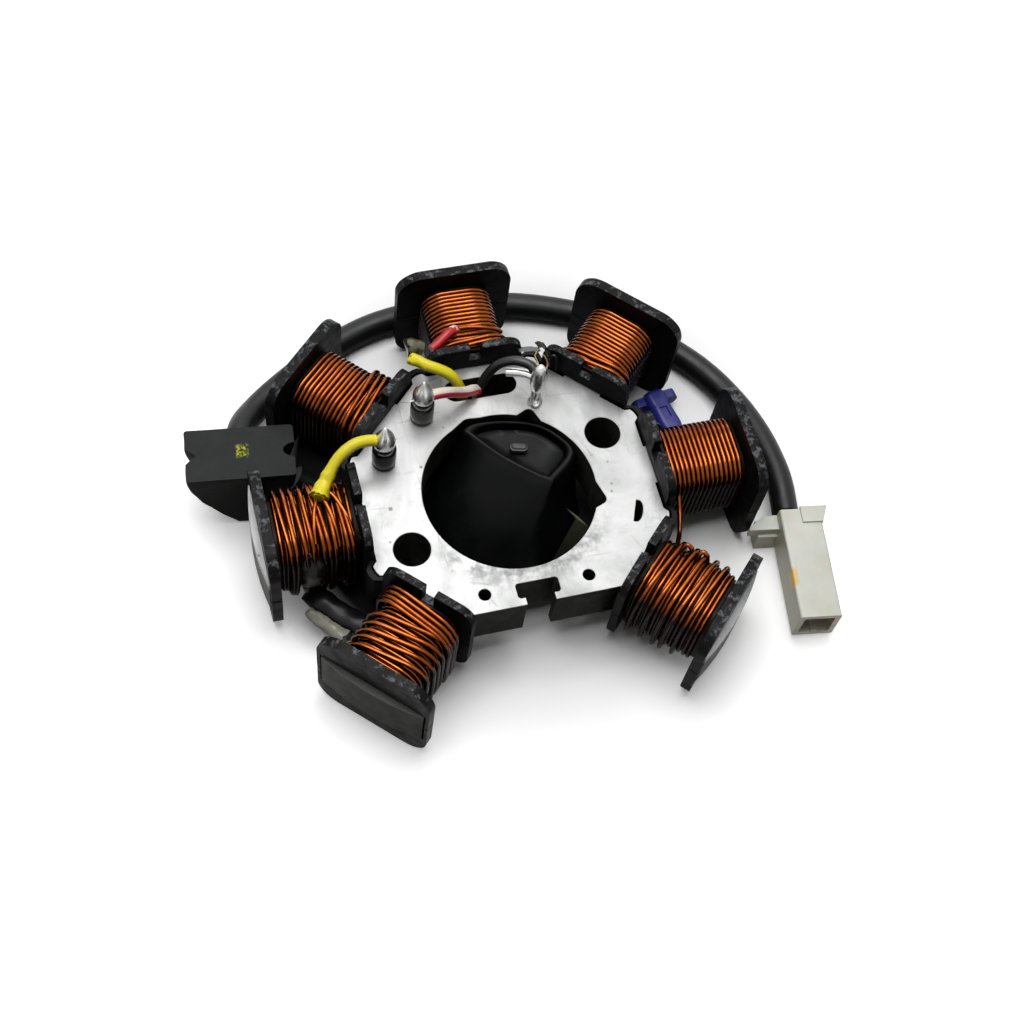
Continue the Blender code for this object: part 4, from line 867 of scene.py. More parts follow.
def keep_inside(mesh, at, turn):
    """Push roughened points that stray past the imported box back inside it."""
    place = Matrix.Translation(at) @ Matrix.Rotation(math.radians(turn), 4, "Z")
    back = place.inverted()
    low, high = CAD_BOX
    for vertex in mesh.vertices:
        spot = place @ vertex.co
        for side in range(3):
            spot[side] = min(max(spot[side], low[side] + BOX_INSET), high[side] - BOX_INSET)
        vertex.co = back @ spot


def add(name, mesh, looks, nodes=(), slot=None, at=AXIS, turn=0.0, angle=35.0, bevel=0.0, sections=2):
    """Show a mesh as a piece that rides on the body and stands for the CAD nodes named."""
    looks = [looks] if isinstance(looks, str) else looks
    for look in looks:
        mesh.materials.append(LOOKS[look])
    mesh.shade_smooth()
    keep_inside(mesh, at, turn)
    if not bevel:
        mesh.set_sharp_from_angle(angle=math.radians(angle))
    piece = bpy.data.objects.new(name, mesh)
    bpy.context.scene.collection.objects.link(piece)
    piece.location = at
    piece.rotation_euler = (0, 0, math.radians(turn))
    if bevel:
        edge = piece.modifiers.new("rounded_edges", "BEVEL")
        edge.width = bevel
        edge.segments = sections
        edge.limit_method = "ANGLE"
        edge.angle_limit = math.radians(angle)
        edge.use_clamp_overlap = True
        piece.modifiers.new("even_shading", "WEIGHTED_NORMAL").keep_sharp = True
    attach(piece, BODY)
    if nodes:
        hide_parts(*([nodes] if isinstance(nodes, str) else nodes))
    return piece


# Camera and light

def add_camera():
    camera = bpy.data.cameras.new("camera")
    camera.lens = CAMERA_LENS
    camera.clip_start = 0.01
    camera.clip_end = 20.0
    made = bpy.data.objects.new("camera", camera)
    bpy.context.scene.collection.objects.link(made)
    level = math.cos(CAMERA_ELEVATION)
    east = math.sin(CAMERA_AZIMUTH) * level
    north = -math.cos(CAMERA_AZIMUTH) * level
    back = Vector((east, north, math.sin(CAMERA_ELEVATION)))
    right = Vector((0, 0, 1)).cross(back).normalized()
    up = back.cross(right)
    across = right * math.cos(CAMERA_ROLL) + up * math.sin(CAMERA_ROLL)
    above = up * math.cos(CAMERA_ROLL) - right * math.sin(CAMERA_ROLL)
    target = Vector((0, AXIS_Y, PLATE_TOP))
    spot = target + back * CAMERA_DISTANCE + across * CAMERA_RIGHT + above * CAMERA_UP
    matrix = Matrix((across, above, back)).transposed().to_4x4()
    matrix.translation = spot
    made.matrix_world = matrix
    bpy.context.scene.camera = made


def add_softbox(name, spot, target, size, power):
    light = bpy.data.lights.new(name, "AREA")
    light.shape = "RECTANGLE"
    light.size = size[0]
    light.size_y = size[1]
    light.energy = power
    made = bpy.data.objects.new(name, light)
    bpy.context.scene.collection.objects.link(made)
    made.location = spot
    aim = Vector(target) - Vector(spot)
    made.rotation_euler = aim.to_track_quat("-Z", "Y").to_euler()


def add_lights():
    for name, spot, size, power in SOFTBOXES:
        add_softbox(name, spot, SOFTBOX_AIM, size, power)


def add_world():
    world = bpy.data.worlds.new("studio")
    bpy.context.scene.world = world
    world.use_nodes = True
    tree = world.node_tree
    background = tree.nodes["Background"]
    background.inputs["Color"].default_value = (1.0, 1.0, 1.0, 1.0)
    rays = tree.nodes.new("ShaderNodeLightPath")
    level = tree.nodes.new("ShaderNodeMapRange")
    level.inputs[3].default_value = WORLD_LIGHT
    level.inputs[4].default_value = 1.0
    shown = rays.outputs["Is Camera Ray"]
    for ray in ("Is Glossy Ray", "Is Transmission Ray"):
        both = tree.nodes.new("ShaderNodeMath")
        both.operation = "MAXIMUM"
        tree.links.new(shown, both.inputs[0])
        tree.links.new(rays.outputs[ray], both.inputs[1])
        shown = both.outputs[0]
    tree.links.new(shown, level.inputs[0])
    tree.links.new(level.outputs["Result"], background.inputs["Strength"])


def beyond(look, flat, centre, inner, outer):
    """0 inside the inner radius about a centre, 1 outside the outer one, all in millimetres."""
    middle = (centre[0] * MM, centre[1] * MM, 0.0)
    away = look.node("ShaderNodeVectorMath", {0: flat, 1: middle}, operation="DISTANCE")
    return look.step(away.outputs["Value"], inner * MM, outer * MM)


def add_floor():
    """Floor that clips to white for the camera away from the object, with three dark painted areas.

    The paint makes the bore and two of the gaps look darker than the lamps alone do. To rays other than
    camera, glossy and transmission ones the floor is a darker grey, so that less light bounces off it.
    """
    bm = bmesh.new()
    bmesh.ops.create_grid(bm, x_segments=1, y_segments=1, size=3.0)
    floor = bpy.data.objects.new("floor", to_mesh(bm))
    bpy.context.scene.collection.objects.link(floor)
    floor.location.z = -0.0001
    look = Look("floor_paint", FLOOR_PALE, 0.9, Specular_IOR_Level=0.1)
    rays = look.node("ShaderNodeLightPath")
    seen = look.math("MAXIMUM", rays.outputs["Is Camera Ray"], rays.outputs["Is Glossy Ray"])
    seen = look.math("MAXIMUM", seen, rays.outputs["Is Transmission Ray"])
    parts = look.node("ShaderNodeSeparateXYZ", {0: look.place()})
    forward = look.math("SUBTRACT", parts.outputs["Y"], AXIS_Y)
    flat = look.node("ShaderNodeCombineXYZ", {0: parts.outputs["X"], 1: forward}).outputs[0]
    shade, *others = [beyond(look, flat, *area) for area in DARK_AREAS]
    for other in others:
        shade = look.math("MINIMUM", shade, other)
    tone = look.mix(seen, FLOOR_UNSEEN, FLOOR_PALE)
    look.set("Base Color", look.mix(shade, FLOOR_DARK, tone))
    # Painted shadow: no glow near the object, so the floor stays darker there.
    glow_outside_painted_shadow = beyond(look, flat, *GLOW_START)
    look.set("Emission Color", (1.0, 1.0, 1.0, 1.0))
    look.set("Emission Strength", look.times(look.times(seen, glow_outside_painted_shadow), FLOOR_GLOW))
    floor.data.materials.append(look.material)


# Core

def hub_corner(middle, offset=0.0):
    """Points over a hub corner between two poles, clockwise: two flat ends and a low bump."""
    flat = HUB_APOTHEM + offset
    top = flat / math.cos(math.radians(POLE_STEP / 2)) + HUB_CORNER_RISE
    points = [turned_point((flat, -HUB_FLAT_HALF), middle + POLE_STEP / 2)]
    half = HUB_CORNER_HALF_ANGLE
    steps = 8
    for i in range(steps + 1):
        share = 2.0 * i / steps - 1.0
        points.append(polar(top - 0.3 * HUB_CORNER_RISE * share ** 2, middle - half * share))
    points.append(turned_point((flat, HUB_FLAT_HALF), middle - POLE_STEP / 2))
    return points


def pole_outline(angle):
    """Tooth and T-head of one pole, clockwise about the bore axis."""
    half_tooth = TOOTH_WIDTH / 2
    half_shoe = SHOE_WIDTH / 2
    reach = math.degrees(math.asin(half_shoe / SHOE_RADIUS))
    own = [(HUB_APOTHEM, half_tooth), (SHOE_BACK, half_tooth), (SHOE_BACK, half_shoe)]
    steps = 24
    for i in range(steps + 1):
        own.append(polar(SHOE_RADIUS, reach - 2 * reach * i / steps))
    own += [(SHOE_BACK, -half_shoe), (SHOE_BACK, -half_tooth), (HUB_APOTHEM, -half_tooth)]
    return [turned_point(point, angle) for point in own]


def front_edge():
    """The flat edge at the empty position, with its T slot, left to right seen from above."""
    corner = HUB_APOTHEM * math.sqrt(2) - FRONT_EDGE
    neck = T_SLOT_NECK / 2
    head = T_SLOT_HEAD / 2
    lip = -(FRONT_EDGE - T_SLOT_LIP)
    floor = -(FRONT_EDGE - T_SLOT_DEPTH)
    soft = 0.35 * MM
    left = [(-corner, -FRONT_EDGE), (-neck, -FRONT_EDGE), (-neck, lip)]
    left += [(-head + soft, lip), (-head, lip + soft), (-head, floor - soft), (-head + soft, floor)]
    right = [(-x, y) for x, y in reversed(left)]
    return left + right


def core_outline():
    points = []
    for angle in POLE_ANGLES:
        if angle != POLE_ANGLES[0]:
            points += hub_corner(angle + POLE_STEP / 2)
        points += pole_outline(angle)
    return points + list(reversed(front_edge()))


def bore_outline():
    """Round bore with three small notches."""
    points = []
    angle = -30.0
    step = 3.0
    notches = list(BORE_NOTCHES)
    while angle < 330.0 - step / 2:
        if notches and angle + step / 2 > notches[0][0]:
            start, peak, end, depth = notches.pop(0)
            points.append(polar(BORE_RADIUS, start))
            for i in range(-4, 5):
                points.append(polar(BORE_RADIUS + depth * (1.0 - 0.15 * (i / 4) ** 2), peak + 2.5 * i / 4))
            points.append(polar(BORE_RADIUS, end))
            angle = step * math.ceil((end + step / 2) / step)
        else:
            points.append(polar(BORE_RADIUS, angle))
            angle += step
    return points


def key_hole():
    """Small D-shaped hole: its flat side faces the axis."""
    half = KEY_HOLE_WIDTH / 2
    shoulder = KEY_HOLE_FLAT + 0.35 * KEY_HOLE_DEPTH
    own = [(KEY_HOLE_FLAT, -half)]
    for i in range(17):
        x, y = polar(1.0, -90.0 + 180.0 * i / 16)
        own.append((shoulder + 0.65 * KEY_HOLE_DEPTH * x, half * y))
    own.append((KEY_HOLE_FLAT, half))
    return [turned_point(point, KEY_HOLE_ANGLE) for point in own]


def hub_holes():
    holes = [bore_outline(), key_hole()]
    for angle in BOLT_ANGLES:
        holes.append(circle(polar(BOLT_CIRCLE_RADIUS, angle), BOLT_HOLE_RADIUS, 48))
    for angle in RIVET_ANGLES:
        holes.append(circle(polar(RIVET_CIRCLE_RADIUS, angle), RIVET_HOLE_RADIUS, 28))
    slot = rounded_rectangle(WIRE_SLOT_LENGTH, WIRE_SLOT_WIDTH, WIRE_SLOT_WIDTH / 2, 12)
    holes.append([(x, y + WIRE_SLOT_Y) for x, y in slot])
    return holes


def side_normals(loop, hole):
    """Unit vectors that point from the steel into the open at each point of a loop."""
    area = sum(a[0] * b[1] - b[0] * a[1] for a, b in zip(loop, loop[1:] + loop[:1]))
    sign = 1.0 if (area > 0) != hole else -1.0
    normals = []
    for i, point in enumerate(loop):
        before = Vector(loop[i - 1])
        after = Vector(loop[(i + 1) % len(loop)])
        run = (Vector(point) - before).normalized() + (after - Vector(point)).normalized()
        normals.append(Vector((run.y, -run.x)).normalized() * sign)
    return normals


def sheet_stack():
    """The pack of sheets: a groove at each seam, rounded outer edges and pale caps."""
    loops = [core_outline(), *hub_holes()]
    normals = [side_normals(loop, i > 0) for i, loop in enumerate(loops)]
    levels = [(PLATE_UNDER, EDGE_ROUND), (PLATE_UNDER + EDGE_ROUND, 0.0)]
    pitch = (PLATE_TOP - PLATE_UNDER) / SHEETS
    for i in range(1, SHEETS):
        seam = PLATE_UNDER + pitch * i
        levels += [(seam - SEAM_HALF, 0.0), (seam, SEAM), (seam + SEAM_HALF, 0.0)]
    levels += [(PLATE_TOP - EDGE_ROUND, 0.0), (PLATE_TOP, EDGE_ROUND)]
    bm = bmesh.new()
    caps = {0: [], len(levels) - 1: []}
    for loop, normal in zip(loops, normals):
        rows = []
        for number, (z, inset) in enumerate(levels):
            row = [bm.verts.new((p[0] - n.x * inset, p[1] - n.y * inset, z)) for p, n in zip(loop, normal)]
            rows.append(row)
            if number in caps:
                caps[number].append(row)
        for number, (first, second) in enumerate(zip(rows, rows[1:])):
            for k in range(len(loop)):
                face = bm.faces.new((first[k - 1], first[k], second[k], second[k - 1]))
                face.material_index = 0 if number in (0, len(levels) - 2) else 1
    for rows in caps.values():
        verts = [vert for row in rows for vert in row]
        for corners in tessellate_polygon([[vert.co for vert in row] for row in rows]):
            bm.faces.new([verts[i] for i in corners])
    return to_mesh(bm)


def show_core():
    looks = ["steel_face", "core_edge"]
    add("core_sheets", sheet_stack(), looks, "lamination_stack", "core_steel", angle=20.0)


# Bobbins

def bobbin(tab_half_height):
    """One whole spool about a pole, along +X and level with the core's middle."""
    neck_outline = rounded_rectangle(2 * NECK_HALF_WIDTH, 2 * NECK_HALF_HEIGHT, 0.5 * MM, 2)
    neck = slab(neck_outline, TAB_BACK - OVERLAP, FLANGE_INNER_FACE + OVERLAP, "x")
    tab_outline = rounded_rectangle(TAB_WIDTH, 2 * tab_half_height, TAB_CORNER, 8)
    tab = slab(tab_outline, TAB_FACE, TAB_BACK, "x")
    flange_outline = rounded_rectangle(FLANGE_WIDTH, 2 * FLANGE_HALF_HEIGHT, FLANGE_CORNER, 10)
    flange = slab(flange_outline, FLANGE_INNER_FACE, FLANGE_FACE, "x")
    notch_half = TAB_NOTCH_WIDTH / 2
    notch = box(
        (TAB_FACE - OVERLAP, -notch_half, CORE_HALF + TAB_NOTCH_FLOOR),
        (TAB_BACK + OVERLAP, notch_half, FLANGE_HALF_HEIGHT + OVERLAP),
    )
    return combine(neck, [("UNION", tab), ("UNION", flange), ("DIFFERENCE", notch)])


def liner(middle):
    """Strip that lines the hub's edge between the poles on either side of middle."""
    near = GAP * 1.2
    far = near + WALL
    first = middle + POLE_STEP / 2
    last = middle - POLE_STEP / 2
    inner = [turned_point((HUB_APOTHEM + near, -LINER_REACH), first)]
    inner += hub_corner(middle, near)
    inner.append(turned_point((HUB_APOTHEM + near, LINER_REACH), last))
    outer = [turned_point((HUB_APOTHEM + far, -LINER_REACH), first)]
    outer += hub_corner(middle, far)
    outer.append(turned_point((HUB_APOTHEM + far, LINER_REACH), last))
    return slab(inner + list(reversed(outer)), -OVERLAP, CORE_HALF)


def steel_room():
    """The room that one tooth and its T-head need inside the insulator, as a T in plan."""
    half_tooth = TOOTH_WIDTH / 2 + GAP
    half_shoe = SHOE_WIDTH / 2 + GAP
    back = SHOE_BACK - GAP
    start = TAB_FACE - 2 * OVERLAP
    end = SHOE_RADIUS + 2 * OVERLAP
    half = [(start, -half_tooth), (back, -half_tooth), (back, -half_shoe), (end, -half_shoe)]
    height = CORE_HALF + GAP
    return slab(half + [(x, -y) for x, y in reversed(half)], -height, height)


def insulator_half(tab_rise):
    """The half above the core's middle, with seven half bobbins and the strips between them."""
    spools = copies(bobbin(CORE_HALF + tab_rise), POLE_ANGLES)
    middles = [angle + POLE_STEP / 2 for angle in POLE_ANGLES[1:]]
    strips = joined([liner(middle) for middle in middles])
    steel = copies(steel_room(), POLE_ANGLES)
    reach = 2 * SHOE_RADIUS
    below = box((-reach, -reach, -reach), (reach, reach, GAP / 2))
    return combine(spools, [("UNION", strips), ("DIFFERENCE", steel), ("DIFFERENCE", below)])


def show_insulators():
    for name, rise, over in (("upper", UPPER_TAB_RISE, False), ("lower", LOWER_TAB_RISE, True)):
        mesh = lumpy(insulator_half(rise), 0.10 * MM, 420.0, 3)
        if over:
            mesh.transform(Matrix.Rotation(math.pi, 4, "Y"))
        mesh.transform(Matrix.Translation((0, 0, MID_Z)))
        node = f"{name}_insulator"
        add(f"{name}_bobbins", mesh, "moulded_black", node, "insulator_plastic", bevel=BEVEL, angle=30.0)


# Windings

def section_point(share, half_width, half_height, corner):
    """Point on a rounded rectangle at a share of its way round, from the middle of the top."""
    straight_w = 2 * (half_width - corner)
    straight_h = 2 * (half_height - corner)
    arc = math.pi * corner / 2
    run = (share % 1.0) * (2 * straight_w + 2 * straight_h + 4 * arc)
    cx = half_width - corner
    cz = half_height - corner
    if run < straight_w / 2:
        return (run, half_height)
    run -= straight_w / 2
    sides = (
        (cx, cz, 90.0, "down", straight_h), (cx, -cz, 0.0, "left", straight_w),
        (-cx, -cz, -90.0, "up", straight_h), (-cx, cz, -180.0, "right", straight_w),
    )
    for x, z, start, way, length in sides:
        if run < arc:
            a, b = polar(corner, start - math.degrees(run / corner))
            return (x + a, z + b)
        run -= arc
        if run < length:
            return {
                "down": (half_width, cz - run),
                "left": (cx - run, -half_height),
                "up": (-half_width, -cz + run),
                "right": (-cx + run, half_height),
            }[way]
        run -= length
    return (0.0, half_height)


def winding_path(turns, seed, rise, start, end, loose, lean, steps=36):
    """One layer of wire: a rounded helix from start to end of the bobbin, a little uneven."""
    chance = random.Random(seed)
    rise, loose, lean = rise * MM, loose * MM, lean * MM
    low = COIL_START + WIRE / 2
    span = COIL_END - COIL_START - WIRE
    half_width = COIL_HALF_WIDTH - WIRE / 2 + rise
    half_height = COIL_HALF_HEIGHT - WIRE / 2 + rise
    shifts = [chance.uniform(-1, 1) * loose for _ in range(turns + 2)]
    lifts = [abs(chance.uniform(0, 1)) * loose for _ in range(turns + 2)]
    points = []
    for i in range(turns * steps + 1):
        place = i / steps
        turn = int(place)
        share = place - turn
        ease = share * share * (3 - 2 * share)
        shift = shifts[turn] * (1 - ease) + shifts[turn + 1] * ease
        lift = (lifts[turn] * (1 - ease) + lifts[turn + 1] * ease) * 0.6
        x = low + span * (start + (end - start) * min(1.0, place / turns)) + shift
        x += lean * math.sin(2 * math.pi * share)
        y, z = section_point(share + 0.5, half_width + lift, half_height + lift, COIL_CORNER)
        x = min(max(x, low), low + span)
        points.append(Vector((x, y, z)))
    return points


def coil_core():
    """Smooth inner layers that close the gaps between the visible turns."""
    rings = []
    half_width = COIL_HALF_WIDTH - 0.62 * WIRE
    half_height = COIL_HALF_HEIGHT - 0.62 * WIRE
    outline = rounded_rectangle(2 * half_width, 2 * half_height, COIL_CORNER, 6)
    inner = rounded_rectangle(2 * (NECK_HALF_WIDTH + GAP), 2 * (NECK_HALF_HEIGHT + GAP), 0.5 * MM, 6)
    for x in (COIL_START, COIL_END):
        rings.append([(x, a, b) for a, b in outline])
    for x in (COIL_END, COIL_START):
        rings.append([(x, a, b) for a, b in inner])
    return loft(rings, closed=True)


def winding(layers):
    """Turns of wire over a dark inner drum, which takes the second look: painted shade between the turns."""
    drum = coil_core()
    turns = joined([tube(winding_path(*layer), 0.46 * WIRE, 8) for layer in layers])
    bm = bmesh.new()
    bm.from_mesh(turns)
    count = len(bm.faces)
    bm.from_mesh(drum)
    bm.faces.ensure_lookup_table()
    for face in bm.faces[count:]:
        face.material_index = 1
    return to_mesh(bm)


# Layers of each coil: turns, seed, rise, start and end as shares of the bobbin, looseness and lean.
# Rise, looseness and lean are in millimetres.
COIL_LAYERS = (
    ((15, 11, 0, 0, 1, 0.10, 0), (5, 12, 0.75, 0.30, 0.95, 0.5, 1.5), (4, 13, 1.1, 0.02, 0.30, 0.3, -0.9)),
    ((15, 21, 0, 0, 1, 0.25, 0), (9, 22, 0.7, 0.05, 0.95, 0.6, 0.7)),
    ((15, 31, 0, 0, 1, 0.12, 0), (3, 32, 0.7, 0.0, 0.25, 0.3, 1.2)),
    ((15, 41, 0, 0, 1, 0.10, 0), (2, 42, 0.6, 0.0, 0.15, 0.2, 0.8)),
    ((15, 51, 0, 0, 1, 0.07, 0), (2, 52, 0.6, 0.0, 0.2, 0.2, 1.2)),
    ((15, 61, 0, 0, 1, 0.06, 0),),
    ((15, 71, 0, 0, 1, 0.12, 0), (5, 72, 0.6, 0.1, 0.9, 0.5, -0.5)),
)


def show_coils():
    for number, angle in enumerate(POLE_ANGLES, start=1):
        mesh = winding(COIL_LAYERS[number - 1])
        spot = AXIS + Vector((0, 0, MID_Z))
        node = f"coil_{number}"
        add(f"winding_{number}", mesh, ["copper", "inner_copper_painted_shade"], node, "copper_wire", spot, angle, 60.0)


# Places given in millimetres

def flange_points(points):
    """Pole angle, how far beyond its flange face, across it and the height, as points from the axis."""
    made = []
    for angle, out, across, z in points:
        x, y = turned_point((FLANGE_FACE + out * MM, across * MM), angle)
        made.append(Vector((x, y, z * MM)))
    return made


def floor_points(points):
    return [Vector(point) * MM for point in points]


def plate_points(points):
    return [Vector((x * MM, y * MM, z * MM + PLATE_TOP)) for x, y, z in points]


def lumpy(mesh, amount, scale, seed):
    """Push each vertex along its normal by smooth noise."""
    shift = Vector((1.3, 1.7, -1.1)) * seed
    normals = [vert.normal.copy() for vert in mesh.vertices]
    for vert, normal in zip(mesh.vertices, normals):
        vert.co += normal * amount * noise.noise(vert.co * scale + shift)
    return mesh


def moved(mesh, spot):
    mesh.transform(Matrix.Translation(spot))
    return mesh


# Terminals

def post_mesh():
    """Moulded post with a soft rim, and its headed shank below the hub."""
    under = PLATE_UNDER - PLATE_TOP - GAP
    body = POST_RADIUS
    profile = [
        (0, under - 0.8 * MM), (0.7 * body, under - 0.8 * MM), (0.9 * body, under - 0.6 * MM),
        (0.95 * body, under - 0.3 * MM), (0.93 * body, under), (0.57 * body, under),
        (0.57 * body, GAP), (0.9 * body, GAP), (0.96 * body, 0.5 * MM), (0.93 * body, 0.9 * MM),
        (0.98 * body, 1.3 * MM), (body, 2.4 * MM), (0.98 * body, POST_HEIGHT - 0.9 * MM),
        (0.95 * body, POST_HEIGHT - 0.4 * MM), (0.86 * body, POST_HEIGHT - 0.1 * MM),
        (0.72 * body, POST_HEIGHT), (0.42 * body, POST_HEIGHT),
        (0.42 * body, POST_HEIGHT - 1.6 * MM), (0, POST_HEIGHT - 1.6 * MM),
    ]
    return turned_solid(profile)


def drop_mesh(seed):
    """Solder drop: tapered below its widest ring, a slightly hollow cone above, lumpy all over."""
    wide = SOLDER_RADIUS
    shares = (
        (0.26, -1.4), (0.26, 0.25), (0.66, 0.3), (0.80, 0.55), (0.92, 0.95), (0.99, 1.4),
        (1.0, 1.8), (0.97, 2.2), (0.90, 2.7), (0.79, 3.25), (0.66, 3.8), (0.52, 4.3), (0.38, 4.8),
        (0.27, 5.25), (0.17, 5.65), (0.11, 5.85),
    )
    profile = [(0, -1.4 * MM), *((wide * share, z * MM) for share, z in shares), (0, SOLDER_HEIGHT)]
    drop = lumpy(turned_solid(profile), 0.12 * MM, 420.0, seed)
    spike = [Vector((1.5, 0.3, 1.5)) * MM, Vector((2.0, 0.4, 1.3)) * MM, Vector((2.4, 0.4, 1.35)) * MM]
    tail = tube(spike, lambda share: (0.28 - 0.2 * share) * MM, 8)
    tail.transform(Matrix.Rotation(math.pi * (seed - 1), 4, "Z"))
    return joined([drop, tail])


def egg_mesh():
    """Egg of solder over the ground pin, with a dent and a run down one side."""
    height = EGG_HEIGHT
    shares = (
        (0.55, 0.0), (0.7, 0.08), (0.84, 0.18), (0.95, 0.3), (0.99, 0.42), (0.98, 0.55),
        (0.93, 0.67), (0.82, 0.78), (0.64, 0.88), (0.42, 0.95), (0.2, 0.99),
    )
    profile = [(0, 1.2 * MM), (0.5 * EGG_RADIUS, 1.2 * MM)]
    profile += [(EGG_RADIUS * share, height * rise) for share, rise in shares]
    profile.append((0, height))
    return lumpy(turned_solid(profile), 0.14 * MM, 380.0, 3)


def pin_mesh():
    under = PLATE_UNDER - PLATE_TOP - GAP
    profile = [
        (0, under - 0.8 * MM), (1.1 * MM, under - 0.8 * MM), (1.3 * MM, under - 0.5 * MM),
        (1.25 * MM, under), (0.65 * MM, under), (0.65 * MM, GAP), (1.28 * MM, GAP),
        (1.2 * MM, 0.6 * MM), (0.95 * MM, 0.95 * MM), (0.66 * MM, 1.25 * MM),
        (0.62 * MM, PIN_HEIGHT), (0, PIN_HEIGHT),
    ]
    return lumpy(turned_solid(profile, 28), 0.05 * MM, 900.0, 2)


def show_terminals():
    top = Vector((0, 0, PLATE_TOP))
    for number, spot in enumerate((POST_1_SPOT, POST_2_SPOT), start=1):
        at = AXIS + Vector((*spot, 0)) + top
        look = f"post_{number}"
        add(f"post_{number}", post_mesh(), look, f"terminal_post_{number}", "post_plastic", at)
        drop = at + Vector((0, 0, POST_HEIGHT))
        node = f"solder_joint_{number}"
        add(f"solder_{number}", drop_mesh(number), "solder", node, "solder", drop, 0.0, 60.0)
    at = AXIS + Vector((*GROUND_SPOT, 0)) + top
    add("ground_pin_bare", pin_mesh(), "tin", "ground_pin", "solder", at)
    egg = at + Vector((0, 0, PIN_HEIGHT - 0.9 * MM))
    add("solder_3", egg_mesh(), "solder", "solder_joint_3", "solder", egg, 0.0, 60.0)
    add_lead("ground_loop", plate_points(GROUND_LOOP), 0.7 * MM, "tin", None, "solder")
    add_lead("ground_strand", plate_points(GROUND_STRAND), 1.7 * MM, "tin", None, "solder")


# Leads on top of the hub

def add_lead(name, points, diameter, look, node, slot, sides=14, round_ends=0.0):
    """A tube along a route from the bore axis; gives back the piece and the points it follows."""
    path = smooth_route(points, 0.3 * diameter)
    mesh = tube(path, diameter / 2, sides, round_ends=round_ends)
    piece = add(name, mesh, look, node or (), slot, angle=50.0)
    return piece, [AXIS + point for point in path]


def torn_sleeve(points, radius, flare, seed, sides=20):
    """Short sleeve that widens to a ragged end."""
    chance = random.Random(seed)
    path = smooth_route(points, 0.25 * radius)
    mesh = tube(path, lambda share: radius + flare * share ** 1.5, sides)
    middle = path[-1]
    along = (path[-1] - path[-2]).normalized()
    reach = 2.0 * radius
    for vert in mesh.vertices:
        depth = (vert.co - middle).dot(along) + reach
        if depth > 0:
            share = depth / reach
            vert.co += along * chance.uniform(-0.55, 0.1) * radius * share
    return lumpy(mesh, 0.25 * radius, 700.0, seed)


def show_leads():
    yellow = plate_points(YELLOW_COIL)
    add_lead("yellow_lead_to_coil_2", yellow, 2.0 * MM, "yellow", "yellow_lead_coil", "yellow_lead")
    torn = torn_sleeve(yellow[-4:], 1.1 * MM, 0.55 * MM, 5)
    add("torn_yellow_sleeve", torn, "yellow", (), "yellow_lead", angle=60.0)
    for number, points in enumerate(YELLOW_STRANDS, start=1):
        add_lead(f"coil_2_strand_{number}", plate_points(points), 0.8 * MM, "copper", None, "copper_wire", 8)
    route = plate_points(YELLOW_HARNESS) + floor_points(YELLOW_BELOW)
    add_lead("yellow_lead_cut", route, 2.0 * MM, "yellow", "yellow_lead_harness", "yellow_lead")
    cut = list(reversed(plate_points(YELLOW_HARNESS[:3])))
    add("cut_yellow_end", torn_sleeve(cut, 1.03 * MM, 0.1 * MM, 8), "yellow", (), "yellow_lead", angle=60.0)
    route = plate_points(WHITE_ABOVE) + floor_points(WHITE_BELOW)
    add_lead("striped_lead", route, 1.9 * MM, "striped", "white_lead", "white_lead", 20)
    route = plate_points(BLACK_ABOVE) + floor_points(BLACK_BELOW)
    add_lead("black_lead_to_ground", route, 1.7 * MM, "black", "black_lead", "black_lead")
    red = plate_points(RED_ABOVE)
    add_lead("red_sleeve_over_wire", red, 1.7 * MM, "red", "red_sleeve", "red_sleeve")
    end = torn_sleeve(plate_points(RED_END), 0.8 * MM, 0.12 * MM, 4)
    add("red_sleeve_pale_end", end, "striped", (), "red_sleeve", angle=60.0)
    wire = plate_points(RED_WIRE)
    add_lead("coil_4_start_wire", wire, 0.8 * MM, "copper", None, "copper_wire", 8)


def crumpled(points, width, height, seed, amount):
    """A strip of old tape: a bent sheet with thickness, creased by noise."""
    path = smooth_route(points, 0.25 * MM)
    rings = []
    for point in path:
        across = Vector((0.35, -0.94, 0)) * width / 2
        up = Vector((0.94, 0.35, 0)) * height
        under = [point - across, point, point + across]
        rings.append(under + [spot + up for spot in reversed(under)])
    return lumpy(loft(rings), amount, 900.0, seed)


def show_dark_mass():
    """A dark lumpy tube under the second coil, as far as it shows between two poles."""
    path = smooth_route(plate_points(DARK_MASS), 0.4 * MM)
    mesh = lumpy(tube(path, 2.1 * MM, 24, round_ends=0.8 * MM), 0.5 * MM, 420.0, 12)
    add("dark_mass_below", mesh, "sheath", (), "cable_sheath", angle=60.0)


